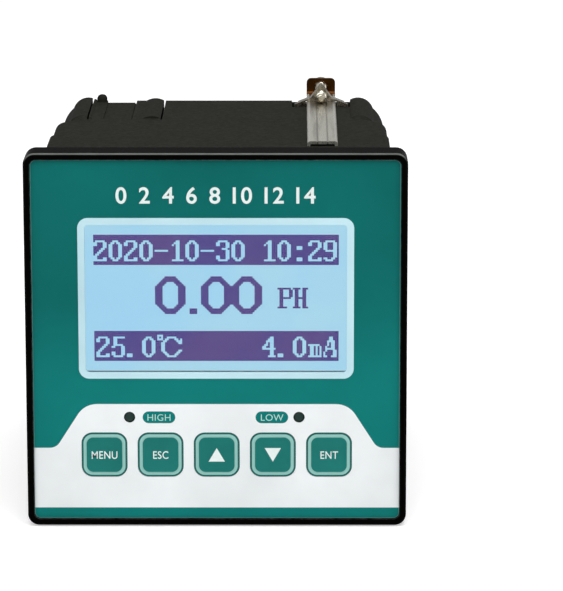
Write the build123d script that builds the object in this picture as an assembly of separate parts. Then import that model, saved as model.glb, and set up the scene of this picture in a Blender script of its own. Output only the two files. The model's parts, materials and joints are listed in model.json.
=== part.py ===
from build123d import *
import os

# Panel-mount meter: millimetres, X to the viewer's right, Y away from the viewer, Z up.
# The origin is the centre of the bezel's back face, which seats on the panel.

# Bezel
bezel_size = 100.0
bezel_depth = 9.0
bezel_corner = 3.0
bezel_edge = 0.5
bezel_overhang = 4.0
rim_width = 1.85
film_thickness = 0.5
film_sink = 0.7
film_corner = 1.5
plate_thickness = 2.0
skirt_gap = 0.15

# Case
case_wall = 2.5
case_depth = 97.0
case_corner = 3.0
rear_corner = 9.0
collar_extra = 0.15
collar_corner = 1.2
collar_depth = 40.0
rear_length = 30.0
corner_blend = 6.0
pillar_inset = 7.4
pillar_radius = 4.5
pillar_rise = 0.9
pillar_tip = 3.0

# Latch tongue cut into the case's wall, placed from the case's left side
tongue_inset = 8.85
tongue_width = 20.45
tongue_length = 32.0
slit_width = 0.5
thumb_inset = 13.0
thumb_width = 7.8
thumb_length = 29.4
thumb_sink = 0.6
groove_depth = 0.9
hump_inset = 26.6
hump_radius = 5.0
hump_rise = 0.7
nub_inset = 11.4
nub_radius = 1.45
nub_height = 2.1
nub_setback = 1.8
nub_root = 1.0

# Side vents
vent_count = 9
vent_pitch = 4.6
vent_width = 1.8
vent_length = 22.0
vent_first = 28.0

# Clamp pocket, placed from the case's right side and rear
clamp_inset = 18.0
pocket_width = 16.6
pocket_setback = 11.0
pocket_length = 9.5
pocket_sink = 2.6
pocket_floor = 2.4
pocket_lip = 0.8
pocket_wall = 1.3
pocket_web = 2.0
lip_setback = 6.0
lip_gap = 0.2
pocket_rear_drop = 0.4

# Clamp anchor
anchor_sheet = 1.0
anchor_web = 1.2
anchor_setback = 1.0
anchor_rim = 0.8
anchor_flange = 2.4
anchor_clearance = 0.3
foot_gap = 0.2
foot_lip_gap = 0.15
foot_back_gap = 0.1
apex_over_screw = 3.4
shoulder_under_screw = 0.6
shoulder_x = 3.0
wing_gap = 0.7
wing_rise = 0.6
flange_start_rise = 1.0
slot_half_width = 0.8

# Clamp strip
strip_width = 8.2
strip_sheet = 0.8
strip_height = 1.3
strip_gap = 0.05
strip_front = 23.5
strip_corner = 0.9
strip_inner_corner = 0.3
strip_overhang = 5.2
strip_fold_length = 3.0
strip_heel = 1.2
strip_crease = 0.56
tab_over_screw = 2.6
tab_corner = 1.3
bead_x = 1.35
bead_radius = 0.25
bead_sink = 0.2

# Clamp screw
screw_radius = 1.5
screw_length = 20.0
screw_lift = 0.15
screw_head_radius = 2.75
screw_head_height = 2.0
screw_head_round = 0.8
screw_tip = 0.7
screw_gap = 0.05
tab_hole_gap = 0.25
recess_width = 0.9
recess_length = 3.4
recess_depth = 1.2

# Print fields of the front film, placed from the film's edges
window_side = 13.9
window_drop = 17.15
window_gap = 8.7
window_corner = 1.0
window_lap = 0.7
border_width = 1.8
border_corner = 2.7
border_rise = 0.15
field_band = 2.85
field_side_height = 16.3
field_step = 11.9
field_shoulder_inset = 5.85
field_top_inset = 13.45
field_top_round = 6.0
field_shoulder_round = 3.0

# Indicator lamps and their label capsules
lamp_drop = 3.6
lamp_places = {"high": -22.9, "low": 21.7}
lamp_radius = 1.45
lamp_length = 5.2
lamp_dome = 0.9
lamp_sink = 0.1
lamp_flange = 0.1
lamp_flange_length = 1.0
lamp_lead = 0.5
lamp_lead_pitch = 1.6
lamp_gap = 0.05
capsule_places = (-15.15, 14.55)
capsule_length = 8.6
capsule_height = 3.2

# Keys and their switches
key_names = ("menu", "escape", "up", "down", "enter")
key_pitch = 14.8
key_rise = 14.45
key_size = 11.85
key_corner = 2.8
key_gap = 0.12
key_travel = 0.3
key_pad_size = 9.4
key_pad_corner = 1.8
key_pad_rise = 0.2
key_well = 0.6
post_radius = 2.3
post_gap = 0.3
post_length = 4.8
switch_size = 6.0
switch_corner = 0.6
switch_height = 3.5
stem_radius = 1.7
stem_gap = 0.08
stem_seat = 0.6

# Display module
lcd_frame_side = 3.75
lcd_frame_end = 4.1
lcd_frame_corner = 1.0
lcd_frame_sheet = 0.6
lcd_frame_depth = 5.5
lcd_view_lap = 0.35
glass_thickness = 2.2
lcd_board_end = 2.7
board_thickness = 1.6
board_corner = 1.0
header_pins = 20
header_pitch = 2.54
header_width = 2.5
fit_gap = 0.05

# Front board with its posts and screws
display_board_gap = 2.2
front_board_side_gap = 0.7
front_board_end_gap = 1.5
front_board_notch = 7.5
post_side_gap = 2.9
post_rise = 30.0
post_fall = 22.0
board_post_radius = 2.1
board_screw_radius = 1.0
board_screw_head = 2.0
board_screw_head_height = 1.4
board_screw_length = 6.0
board_slot_width = 0.6
board_slot_depth = 0.7

# Bezel screws under the film
bezel_screw_inset = 4.6
bezel_screw_radius = 1.5
bezel_screw_head = 2.8
bezel_screw_length = 12.0
bezel_slot_depth = 0.5
boss_radius = 3.2
boss_length = 18.0

# Boards in the case's guide rails
shelf_z = 18.0
shelf_front_gap = 2.9
shelf_setback = 11.5
shelf_side_gap = 0.2
tail_margin = 2.0
tail_setback = 4.5
shelf_header_pins = 10
shelf_header_length = 4.0
rail_width = 1.5
rail_height = 1.5
rail_gap = 0.1
rail_front_gap = 2.0
rail_back_gap = 1.0
rail_root = 0.5

# Parts on the boards, placed from the boards' sides and ends
shield_width = 28.0
shield_length = 24.0
shield_height = 6.5
shield_sheet = 0.4
shield_inset = 9.3
shield_setback = 9.5
chip_size = 14.0
chip_height = 1.4
chip_side = 6.0
chip_front_gap = 18.0
supply_width = 20.0
supply_length = 10.0
supply_height = 8.0
supply_inset = 9.3
supply_front_gap = 34.0
opto_count = 4
opto_pitch = 8.0
opto_width = 4.6
opto_length = 6.5
opto_height = 3.5
opto_inset = 10.7
opto_setback = 19.0
core_width = 32.0
core_length = 14.0
core_height = 27.0
core_limb = 4.5
core_window = 6.0
core_yoke = 5.0
core_inset = 5.3
coil_gap = 0.1
coil_overhang = 4.0
coil_setback = 23.5
relay_width = 19.0
relay_length = 15.5
relay_height = 15.0
relay_gap = 4.5
relay_inset = 7.3
relay_front_gap = 14.0
capacitor_radius = 5.0
capacitor_height = 18.0
capacitor_gap = 6.0
capacitor_side_gap = 8.0
capacitor_front_gap = 15.0
capacitor_round = 0.6
fuse_radius = 2.3
fuse_length = 12.0
fuse_cap_radius = 2.6
fuse_cap_length = 5.0
fuse_cap_overlap = 0.5
fuse_rise = 3.0
fuse_leg_width = 2.0
fuse_leg_length = 3.0
fuse_inset = 19.3
fuse_setback = 9.5

# Rear cover
cover_thickness = 2.5
cover_inset = 0.2
cover_gap = 0.15
cover_skirt = 1.5
cover_skirt_length = 8.3
cover_window_gap = 0.2
hook_width = 7.0
hook_shift = 0.3
hook_root = 0.3
hook_rise = 1.1
hook_length = 2.4
hook_ramp = 0.8
hook_setback = 5.0
hook_gap = 0.2

# Terminal blocks
pole_count = 10
pole_pitch = 5.08
block_end = 0.6
block_setback = 12.5
block_overhang = 3.5
block_height = 12.0
block_edge = 0.5
pole_screw_radius = 1.7
pole_screw_gap = 0.15
pole_screw_rise = 8.4
pole_screw_length = 7.0
pole_screw_sink = 0.8
pole_slot_width = 0.7
pole_slot_depth = 0.7
wire_mouth = 3.0
wire_mouth_rise = 3.4
wire_mouth_depth = 8.0

# How far a cutting shape runs past the faces it opens
past = 1.0

# Depths, from the front
face_y = -bezel_depth
film_front = face_y + film_sink
film_back = film_front + film_thickness
plate_back = film_back + plate_thickness
lcd_board_front = plate_back + lcd_frame_depth
front_board_y = lcd_board_front + board_thickness + display_board_gap
front_board_back = front_board_y + board_thickness
shelf_front = front_board_back + shelf_front_gap
post_end = film_back + post_length
switch_front = front_board_y - switch_height
rear_start = case_depth - rear_length
shelf_back = case_depth - shelf_setback
shelf_tail_back = case_depth - tail_setback
cover_back = case_depth - cover_inset
cover_front = cover_back - cover_thickness
block_front = case_depth - block_setback
block_back = case_depth + block_overhang

# Widths and heights of the shells
case_size = bezel_size - 2 * bezel_overhang
half_case = case_size / 2
cavity_half = half_case - case_wall
inner_corner = max(case_corner - case_wall, case_wall / 5)
rear_inner_corner = rear_corner - case_wall
skirt_half = half_case + collar_extra + skirt_gap
pillar_x = half_case - pillar_inset
pillar_z = half_case + pillar_rise - pillar_radius
bezel_screw_place = half_case - bezel_screw_inset
board_post_x = cavity_half - post_side_gap

# Places on the face
film_size = bezel_size - 2 * rim_width
film_half = film_size / 2
field_bottom_z = field_band - film_half
field_shoulder_z = field_bottom_z + field_side_height
field_top_z = field_shoulder_z + field_step
field_shoulder_x = film_half - field_shoulder_inset
field_top_x = film_half - field_top_inset
window_width = film_size - 2 * window_side
window_height = film_half - window_drop - window_gap - field_top_z
window_z = film_half - window_drop - window_height / 2
lamp_z = field_top_z - lamp_drop
key_z = field_bottom_z + key_rise
key_places = [key_pitch * (i - (len(key_names) - 1) / 2) for i in range(len(key_names))]
lamp_flange_radius = lamp_radius + lamp_flange
lcd_frame_width = window_width + 2 * lcd_frame_side
lcd_frame_height = window_height + 2 * lcd_frame_end
lcd_board_height = lcd_frame_height + 2 * lcd_board_end
post_places = ((-board_post_x, post_rise), (board_post_x, post_rise),
               (-board_post_x, -post_fall), (board_post_x, -post_fall))

# Places on the case's walls
tongue_left = tongue_inset - half_case
tongue_right = tongue_left + tongue_width
thumb_left = thumb_inset - half_case
thumb_right = thumb_left + thumb_width
hump_x = hump_inset - half_case
nub_x = nub_inset - half_case
nub_round = 0.85 * nub_radius
clamp_x = half_case - clamp_inset
pocket_front = case_depth - pocket_setback
pocket_back = pocket_front + pocket_length
pocket_z = half_case - pocket_sink
lip_front = case_depth - lip_setback

# Places of the clamp
strip_bottom = half_case + strip_gap
strip_top = strip_bottom + strip_height
screw_z = strip_top + screw_lift + screw_radius
web_front = pocket_front + anchor_setback
web_back = web_front + anchor_web
flange_back = web_back + anchor_flange
tab_front = case_depth + strip_overhang
tab_back = tab_front + strip_sheet
tab_top = screw_z + tab_over_screw

# Places of the boards and what they carry
shelf_half = cavity_half - shelf_side_gap
shelf_top = shelf_z + board_thickness / 2
power_top = board_thickness / 2 - shelf_z
block_width = pole_count * pole_pitch + 2 * block_end
core_left = shelf_half - core_inset - core_width
coil_back = shelf_back - coil_setback
core_back = coil_back - coil_overhang
relay_left = relay_inset - shelf_half
capacitor_x = relay_left + relay_width + capacitor_side_gap + capacitor_radius


# Building helpers

def facing(y):
    """The plane at depth y in which an outline's second axis is Z."""
    return Plane(origin=(0, y, 0), x_dir=(1, 0, 0), z_dir=(0, -1, 0))


def slab(outline, front, back):
    """An X-Z outline made solid between two depths."""
    return extrude(facing(back) * outline, amount=back - front, dir=(0, -1, 0))


def block(x_range, y_range, z_range):
    """A box between two corners."""
    (x0, x1), (y0, y1), (z0, z1) = x_range, y_range, z_range
    return Pos((x0 + x1) / 2, (y0 + y1) / 2, (z0 + z1) / 2) * Box(x1 - x0, y1 - y0, z1 - z0)


def rod(x, z, radius, front, back):
    """A round bar along Y."""
    return slab(Pos(x, z) * Circle(radius), front, back)


def blended(half, corner_front, corner_back, front, back):
    """A square tube's solid whose corner radius changes between two depths."""
    outline_front = facing(front) * RectangleRounded(2 * half, 2 * half, corner_front)
    outline_back = facing(back) * RectangleRounded(2 * half, 2 * half, corner_back)
    return loft([outline_front, outline_back], ruled=True)


def opposite(shape):
    """The same shape on the other side, half a turn about the depth axis."""
    return Rot(0, 180, 0) * shape


def corners(x, z):
    """The four places at plus and minus x and z."""
    return [(x, z), (-x, z), (-x, -z), (x, -z)]


def group(solids):
    """Identical pieces that share one node."""
    return Compound([s for part in solids for s in part.solids()])


# Bezel

def bezel_plate_cuts():
    """What the bezel's plate leaves free: window, key wells, lamps and screw heads."""
    window = Rectangle(window_width + 2 * window_lap, window_height + 2 * window_lap)
    cuts = slab(Pos(0, window_z) * window, film_back, plate_back)
    well = RectangleRounded(key_size + 2 * key_gap, key_size + 2 * key_gap, key_corner)
    for x in key_places:
        cuts += slab(Pos(x, key_z) * well, film_back, film_back + key_well)
        cuts += rod(x, key_z, post_radius + post_gap, film_back, plate_back)
    for x in lamp_places.values():
        cuts += rod(x, lamp_z, lamp_flange_radius + lamp_gap, film_back, plate_back)
    for x, z in corners(bezel_screw_place, bezel_screw_place):
        cuts += bezel_screw(x, z, fit_gap)
    return cuts


def front_bezel():
    """The moulded frame: rim, plate behind the film, skirt and board posts."""
    outer = slab(RectangleRounded(bezel_size, bezel_size, bezel_corner), face_y, 0)
    outer = fillet(outer.faces().sort_by(Axis.Y)[0].edges(), bezel_edge)
    recess = slab(RectangleRounded(film_size, film_size, film_corner), face_y, film_back)
    inside = slab(RectangleRounded(2 * skirt_half, 2 * skirt_half, collar_corner), plate_back, 0)
    body = outer - recess - inside
    for x, z in post_places:
        body += rod(x, z, board_post_radius, plate_back, front_board_y)
        body -= rod(x, z, board_screw_radius + fit_gap, front_board_back - board_screw_length, front_board_y)
    return body - bezel_plate_cuts()


def bezel_screw(x, z, gap):
    """A countersunk screw that goes through the bezel's plate into a case boss."""
    head_depth = bezel_screw_head - bezel_screw_radius
    shank = rod(x, z, bezel_screw_radius + gap, film_back, film_back + bezel_screw_length)
    cone = Cone(bezel_screw_radius + gap, bezel_screw_head + gap, head_depth)
    return shank + Pos(x, film_back + head_depth / 2, z) * Rot(90, 0, 0) * cone


def bezel_screws():
    """The four countersunk screws that the film covers."""
    screws = []
    for x, z in corners(bezel_screw_place, bezel_screw_place):
        slot = block((x - bezel_screw_head, x + bezel_screw_head),
                     (film_back - past, film_back + bezel_slot_depth), (z - recess_width / 2, z + recess_width / 2))
        screws.append(bezel_screw(x, z, 0) - slot)
    return group(screws)


# Front film and its print fields

def white_field_outline():
    """The pale lower field: it steps up from the sides to a raised middle."""
    outline = Polygon(
        (-film_half, field_bottom_z), (film_half, field_bottom_z),
        (film_half, field_shoulder_z), (field_shoulder_x, field_shoulder_z),
        (field_top_x, field_top_z), (-field_top_x, field_top_z),
        (-field_shoulder_x, field_shoulder_z), (-film_half, field_shoulder_z),
        align=None)
    vertices = outline.vertices()
    outline = fillet(vertices.filter_by(lambda v: abs(v.Y - field_top_z) < 0.01), field_top_round)
    shoulders = outline.vertices().filter_by(
        lambda v: abs(v.Y - field_shoulder_z) < 0.01 and abs(abs(v.X) - field_shoulder_x) < 0.01)
    return fillet(shoulders, field_shoulder_round)


def capsule_outline(x, grow=0.0):
    """The rounded label field beside an indicator lamp."""
    height = capsule_height + 2 * grow
    return Pos(x, lamp_z) * SlotOverall(capsule_length + 2 * grow, height)


def lamp_holes():
    """Holes of the film at the indicator lamps."""
    holes = Sketch()
    for x in lamp_places.values():
        holes += Pos(x, lamp_z) * Circle(lamp_radius + lamp_gap)
    return holes


def front_film():
    """The coloured part of the film, with the two label capsules as islands in the pale field."""
    border_w = window_width + 2 * border_width
    border_h = window_height + 2 * border_width
    outline = RectangleRounded(film_size, film_size, film_corner) - white_field_outline()
    outline -= Pos(0, window_z) * RectangleRounded(border_w, border_h, border_corner)
    for x in capsule_places:
        outline += capsule_outline(x)
    return group([slab(outline, film_front, film_back)])


def film_white_field():
    """The pale print field round the keys."""
    outline = white_field_outline() - lamp_holes()
    for x in capsule_places:
        outline -= capsule_outline(x)
    hole = RectangleRounded(key_size + 2 * key_gap, key_size + 2 * key_gap, key_corner + key_gap)
    for x in key_places:
        outline -= Pos(x, key_z) * hole
    return slab(outline, film_front, film_back)


def window_border():
    """The pale frame printed and raised round the display window."""
    border_w = window_width + 2 * border_width
    border_h = window_height + 2 * border_width
    ring = RectangleRounded(border_w, border_h, border_corner)
    ring -= RectangleRounded(window_width, window_height, window_corner)
    return slab(Pos(0, window_z) * ring, film_front - border_rise, film_back)


def display_window():
    """The clear pane of the film."""
    pane = Pos(0, window_z) * RectangleRounded(window_width, window_height, window_corner)
    return slab(pane, film_front, film_back)


# Keys, switches and lamps

def key(x):
    """A key of the film: skin, raised pad and the post behind it."""
    skin = slab(Pos(x, key_z) * RectangleRounded(key_size, key_size, key_corner), film_front, film_back)
    pad = Pos(x, key_z) * RectangleRounded(key_pad_size, key_pad_size, key_pad_corner)
    return skin + slab(pad, film_front - key_pad_rise, film_front) + rod(x, key_z, post_radius, film_back, post_end)


def switch_body(x):
    """The housing of one push switch on the front board."""
    outline = RectangleRounded(switch_size, switch_size, switch_corner)
    body = slab(Pos(x, key_z) * outline, switch_front, front_board_y)
    bore_back = switch_front + stem_seat + 2 * key_travel
    return body - rod(x, key_z, stem_radius + stem_gap, switch_front, bore_back)


def switch_stem(x):
    """The stem that a key's post pushes into its switch."""
    return rod(x, key_z, stem_radius, post_end, switch_front + stem_seat)


def lamp(x):
    """An indicator lamp: domed barrel, flange and two leads down to the board."""
    front = film_front + lamp_sink
    back = front + lamp_length
    barrel = rod(x, lamp_z, lamp_radius, front, back)
    barrel = fillet(barrel.faces().sort_by(Axis.Y)[0].edges(), lamp_dome)
    flange = rod(x, lamp_z, lamp_flange_radius, back - lamp_flange_length, back)
    body = barrel + flange
    for side in (-1, 1):
        lead_x = x + side * lamp_lead_pitch / 2
        body += block((lead_x - lamp_lead / 2, lead_x + lamp_lead / 2), (back, front_board_y),
                      (lamp_z - lamp_lead / 2, lamp_z + lamp_lead / 2))
    return body


# Display module

def lcd_metal_frame():
    """The folded steel frame that holds glass and backlight on the display board."""
    outer = RectangleRounded(lcd_frame_width, lcd_frame_height, lcd_frame_corner)
    inner = Rectangle(lcd_frame_width - 2 * lcd_frame_sheet, lcd_frame_height - 2 * lcd_frame_sheet)
    view = Rectangle(window_width + 2 * lcd_view_lap, window_height + 2 * lcd_view_lap)
    frame = slab(Pos(0, window_z) * outer, plate_back, lcd_board_front)
    frame -= slab(Pos(0, window_z) * inner, plate_back + lcd_frame_sheet, lcd_board_front)
    return frame - slab(Pos(0, window_z) * view, plate_back, plate_back + lcd_frame_sheet)


def lcd_layer(front, back):
    """A plate that fills the inside of the metal frame."""
    gap = 2 * (lcd_frame_sheet + fit_gap)
    outline = Rectangle(lcd_frame_width - gap, lcd_frame_height - gap)
    return slab(Pos(0, window_z) * outline, front, back)


def lcd_glass():
    """The display's glass."""
    front = plate_back + lcd_frame_sheet
    return lcd_layer(front, front + glass_thickness)


def lcd_backlight():
    """The light guide behind the glass."""
    return lcd_layer(plate_back + lcd_frame_sheet + glass_thickness, lcd_board_front)


def lcd_board():
    """The display's own circuit board."""
    outline = RectangleRounded(lcd_frame_width, lcd_board_height, board_corner)
    return slab(Pos(0, window_z) * outline, lcd_board_front, lcd_board_front + board_thickness)


def display_header():
    """The pin strip between the display's board and the front board."""
    front = lcd_board_front + board_thickness
    z = window_z + lcd_board_height / 2 - header_width
    length = header_pins * header_pitch
    return slab(Pos(0, z) * Rectangle(length, header_width), front, front_board_y)


# Front board

def front_board():
    """The board behind the face, with notched corners and screw holes."""
    half_width = cavity_half - front_board_side_gap
    half_height = cavity_half - front_board_end_gap
    outline = Rectangle(2 * half_width, 2 * half_height)
    for x, z in corners(half_width - front_board_notch / 2, half_height - front_board_notch / 2):
        outline -= Pos(x, z) * Rectangle(front_board_notch, front_board_notch)
    for x, z in post_places:
        outline -= Pos(x, z) * Circle(board_screw_radius + fit_gap)
    return slab(outline, front_board_y, front_board_back)


def board_screws():
    """The four small screws that hold the front board on the bezel's posts."""
    screws = []
    for x, z in post_places:
        shank = rod(x, z, board_screw_radius, front_board_back - board_screw_length, front_board_back)
        head_back = front_board_back + board_screw_head_height
        head = rod(x, z, board_screw_head, front_board_back, head_back)
        slot = block((x - board_screw_head, x + board_screw_head), (head_back - board_slot_depth, head_back + past),
                     (z - board_slot_width / 2, z + board_slot_width / 2))
        screws.append(shank + head - slot)
    return group(screws)


# Boards in the case and what they carry

def shelf_board(side):
    """A board that slides in the case's rails; its tail carries a terminal block."""
    z = side * shelf_z
    z_range = (z - board_thickness / 2, z + board_thickness / 2)
    tail = block_width / 2 + tail_margin
    body = block((-shelf_half, shelf_half), (shelf_front, shelf_back), z_range)
    return body + block((-tail, tail), (shelf_back, shelf_tail_back), z_range)


def shelf_header(base):
    """The angled pin strip that joins a shelf board to the front board."""
    half = shelf_header_pins * header_pitch / 2
    return block((-half, half), (front_board_back, shelf_front + shelf_header_length), (base, base + header_width))


def standing(x, y, width, length, base, height):
    """A box that stands on a board, from its left front corner."""
    return block((x, x + width), (y, y + length), (base, base + height))


def input_shield():
    """The folded can over the electrode input."""
    left = shield_inset - shelf_half
    front = shelf_back - shield_setback - shield_length
    can = standing(left, front, shield_width, shield_length, shelf_top, shield_height)
    inside = standing(left + shield_sheet, front + shield_sheet, shield_width - 2 * shield_sheet,
                      shield_length - 2 * shield_sheet, shelf_top, shield_height - shield_sheet)
    return can - inside


def processor_chip():
    """The flat processor near the front of the upper board."""
    return standing(chip_side, shelf_front + chip_front_gap, chip_size, chip_size, shelf_top, chip_height)


def isolated_supply():
    """The potted supply that feeds the input stage."""
    left = shelf_half - supply_inset - supply_width
    return standing(left, shelf_front + supply_front_gap, supply_width, supply_length, shelf_top, supply_height)


def optocouplers():
    """Small isolators in a row."""
    right = shelf_half - opto_inset - opto_width
    front = shelf_back - opto_setback - opto_length
    return group([standing(right - i * opto_pitch, front, opto_width, opto_length, shelf_top, opto_height)
                  for i in range(opto_count)])


def transformer_core():
    """Laminated core with two windows for the coil."""
    front = core_back - core_length
    core = standing(core_left, front, core_width, core_length, power_top, core_height)
    for x in (core_left + core_limb, core_left + core_width - core_limb - core_window):
        core -= standing(x, front, core_window, core_length, power_top + core_yoke, core_height - 2 * core_yoke)
    return core


def transformer_coil():
    """The wound coil round the core's middle limb."""
    left = core_left + core_limb + coil_gap
    width = core_width - 2 * (core_limb + coil_gap)
    front = core_back - core_length - coil_overhang
    base = power_top + core_yoke + coil_gap
    height = core_height - 2 * (core_yoke + coil_gap)
    coil = standing(left, front, width, core_length + 2 * coil_overhang, base, height)
    hole_left = core_left + core_limb + core_window - coil_gap
    hole_width = core_width - 2 * (core_limb + core_window - coil_gap)
    hole_front = core_back - core_length - coil_gap
    return coil - standing(hole_left, hole_front, hole_width, core_length + 2 * coil_gap, base, height)


def relay(i):
    """A sealed relay of the lower board."""
    front = shelf_front + relay_front_gap + i * (relay_length + relay_gap)
    return standing(relay_left, front, relay_width, relay_length, power_top, relay_height)


def capacitors():
    """Two upright electrolytic capacitors."""
    cans = []
    for i in range(2):
        y = shelf_front + capacitor_front_gap + capacitor_radius + i * (2 * capacitor_radius + capacitor_gap)
        can = Pos(capacitor_x, y, power_top + capacitor_height / 2) * Cylinder(capacitor_radius, capacitor_height)
        cans.append(fillet(can.faces().sort_by(Axis.Z)[-1].edges(), capacitor_round))
    return group(cans)


def fuse():
    """The glass fuse with its two end caps in their clips."""
    axis = Pos(shelf_half - fuse_inset, shelf_back - fuse_setback, power_top + fuse_rise)
    body = axis * Rot(0, 90, 0) * Cylinder(fuse_radius, fuse_length)
    for side in (-1, 1):
        shift = side * ((fuse_length + fuse_cap_length) / 2 - fuse_cap_overlap)
        body += axis * Pos(shift, 0, 0) * Rot(0, 90, 0) * Cylinder(fuse_cap_radius, fuse_cap_length)
        body += axis * Pos(shift, 0, -fuse_rise / 2) * Box(fuse_leg_width, fuse_leg_length, fuse_rise)
    return body


# Case

def case_outside():
    """The case's outside: collar, plain middle and the rounder rear with its corner pillars."""
    collar_half = half_case + collar_extra
    collar = slab(RectangleRounded(2 * collar_half, case_size, collar_corner), plate_back, collar_depth)
    middle = slab(RectangleRounded(case_size, case_size, case_corner), collar_depth, rear_start - corner_blend)
    change = blended(half_case, case_corner, rear_corner, rear_start - corner_blend, rear_start)
    rear = slab(RectangleRounded(case_size, case_size, rear_corner), rear_start, case_depth)
    body = collar + middle + change + rear
    tip = Cone(pillar_radius, pillar_radius - pillar_rise, pillar_tip)
    for x, z in corners(pillar_x, pillar_z):
        body += rod(x, z, pillar_radius, rear_start, case_depth)
        body += Pos(x, rear_start - pillar_tip / 2, z) * Rot(90, 0, 0) * tip
    return body


def case_cavity():
    """The space inside the case's walls."""
    front = slab(RectangleRounded(2 * cavity_half, 2 * cavity_half, inner_corner), plate_back, rear_start - corner_blend)
    change = blended(cavity_half, inner_corner, rear_inner_corner, rear_start - corner_blend, rear_start)
    rear = slab(RectangleRounded(2 * cavity_half, 2 * cavity_half, rear_inner_corner), rear_start, case_depth)
    return front + change + rear


def clamp_pocket():
    """The T-shaped pocket in which a clamp's feet hook, to be cut from the top wall."""
    half = pocket_width / 2
    mouth = block((clamp_x - half, clamp_x + half), (pocket_front, pocket_back), (pocket_z, half_case + past))
    under = block((clamp_x - half - pocket_lip, clamp_x + half + pocket_lip), (lip_front, pocket_back),
                  (pocket_z, pocket_z + anchor_sheet + lip_gap))
    drop = block((clamp_x - half, clamp_x + half), (pocket_back, case_depth),
                 (half_case - pocket_rear_drop, half_case + past))
    return mouth + under + drop


def pocket_housing():
    """The thicker wall under a clamp pocket."""
    half = pocket_width / 2 + pocket_lip + pocket_wall
    return block((clamp_x - half, clamp_x + half), (pocket_front - pocket_web, case_depth),
                 (pocket_z - pocket_floor, half_case - case_wall / 2))


def tongue_cuts():
    """Slits, thumb recess and hook socket of the latch tongue in the top wall."""
    start = case_depth - tongue_length
    over = half_case + hump_rise + past
    cuts = block((thumb_left, thumb_right), (case_depth - thumb_length, case_depth), (half_case - thumb_sink, over))
    for x in (tongue_left, tongue_right):
        cuts += block((x - slit_width / 2, x + slit_width / 2), (start, case_depth), (cavity_half - past, over))
    cuts += block((thumb_right, thumb_right + slit_width), (start, case_depth), (half_case - groove_depth, over))
    return cuts + hook(hook_gap)


def tongue_hump():
    """The low rounded rib on the latch tongue."""
    z = half_case + hump_rise - hump_radius
    rib = rod(hump_x, z, hump_radius, rear_start, case_depth)
    keep = block((hump_x - hump_radius, tongue_right), (rear_start, case_depth),
                 (half_case - case_wall / 2, half_case + hump_rise + past))
    return rib & keep


def tongue_nub():
    """The round release nub at the tongue's free end."""
    height = nub_root + nub_height
    peg = Pos(nub_x, case_depth - nub_setback, half_case - nub_root + height / 2) * Cylinder(nub_radius, height)
    return fillet(peg.faces().sort_by(Axis.Z)[-1].edges(), nub_round)


def side_vents():
    """A row of upright slots through both side walls."""
    vents = []
    for i in range(vent_count):
        y = vent_first + i * vent_pitch
        slot = Plane.YZ * Pos(y, 0) * SlotOverall(vent_length, vent_width, rotation=90)
        vents.append(extrude(slot, amount=half_case + past, both=True))
    return vents


def shelf_rails():
    """Pairs of ribs on the side walls that guide the two boards."""
    rails = []
    for side in (-1, 1):
        for z in (-shelf_z, shelf_z):
            for step in (-1, 1):
                near = z + step * (board_thickness / 2 + rail_gap)
                far = near + step * rail_height
                rails.append(block(sorted((side * (cavity_half - rail_width), side * (cavity_half + rail_root))),
                                   (shelf_front + rail_front_gap, shelf_back - rail_back_gap), sorted((near, far))))
    return rails


def case():
    """The moulded case: walls, bosses, rails, vents, clamp pockets and latch tongues."""
    outside = case_outside()
    shell = outside - case_cavity()
    for x, z in corners(bezel_screw_place, bezel_screw_place):
        boss = rod(x, z, boss_radius, plate_back, plate_back + boss_length)
        shell += boss & outside
        shell -= bezel_screw(x, z, fit_gap)
    for x, z in corners(pillar_x, pillar_z):
        shell += rod(x, z, pillar_radius, rear_start, case_depth) - case_cavity()
    for rail in shelf_rails():
        shell += rail
    shell += pocket_housing() + opposite(pocket_housing())
    shell += tongue_hump() + opposite(tongue_hump()) + tongue_nub()
    shell -= clamp_pocket()
    shell -= opposite(clamp_pocket())
    shell -= tongue_cuts()
    shell -= opposite(tongue_cuts())
    for vent in side_vents():
        shell -= vent
    return shell


# Rear cover and terminals

def hook(gap):
    """The ramped hook on the cover's skirt that catches in the latch tongue."""
    x = (thumb_left + thumb_right) / 2 - hook_shift
    back = cover_front - hook_setback + gap
    front = back - hook_length - 2 * gap
    low = cavity_half - cover_gap - hook_root
    high = cavity_half + hook_rise + gap
    ramp = Polygon((front, low), (back, low), (back, high), (back - hook_ramp - gap, high), align=None)
    half = hook_width / 2 + gap
    side = Plane(origin=(x - half, 0, 0), x_dir=(0, 1, 0), z_dir=(1, 0, 0))
    return extrude(side * ramp, amount=2 * half, dir=(1, 0, 0))


def block_z_range(side):
    """Lowest and highest height of a terminal block."""
    return sorted((side * shelf_top, side * (shelf_top + block_height)))


def rear_cover():
    """The cover that closes the case: plate, skirt, two hooks and the terminal windows."""
    half = cavity_half - cover_gap
    corner = rear_inner_corner - cover_gap
    plate = slab(RectangleRounded(2 * half, 2 * half, corner), cover_front, cover_back)
    ring = RectangleRounded(2 * half, 2 * half, corner)
    ring -= RectangleRounded(2 * (half - cover_skirt), 2 * (half - cover_skirt), corner - cover_skirt)
    body = plate + slab(ring, cover_front - cover_skirt_length, cover_front)
    relief = pocket_width / 2 + pocket_lip + pocket_wall + cover_gap
    notch = block((clamp_x - relief, clamp_x + relief), (cover_front - cover_skirt_length - past, cover_back + past),
                  (pocket_z - pocket_floor - cover_gap, half_case))
    body = body - notch - opposite(notch)
    body += hook(0) + opposite(hook(0))
    x = block_width / 2 + cover_window_gap
    for side in (-1, 1):
        low, high = block_z_range(side)
        body -= block((-x, x), (cover_front - past, cover_back + past), (low - cover_window_gap, high + cover_window_gap))
    return body


def pole_places():
    """Where the poles of a terminal block are, from left to right."""
    return [(i - (pole_count - 1) / 2) * pole_pitch for i in range(pole_count)]


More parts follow.
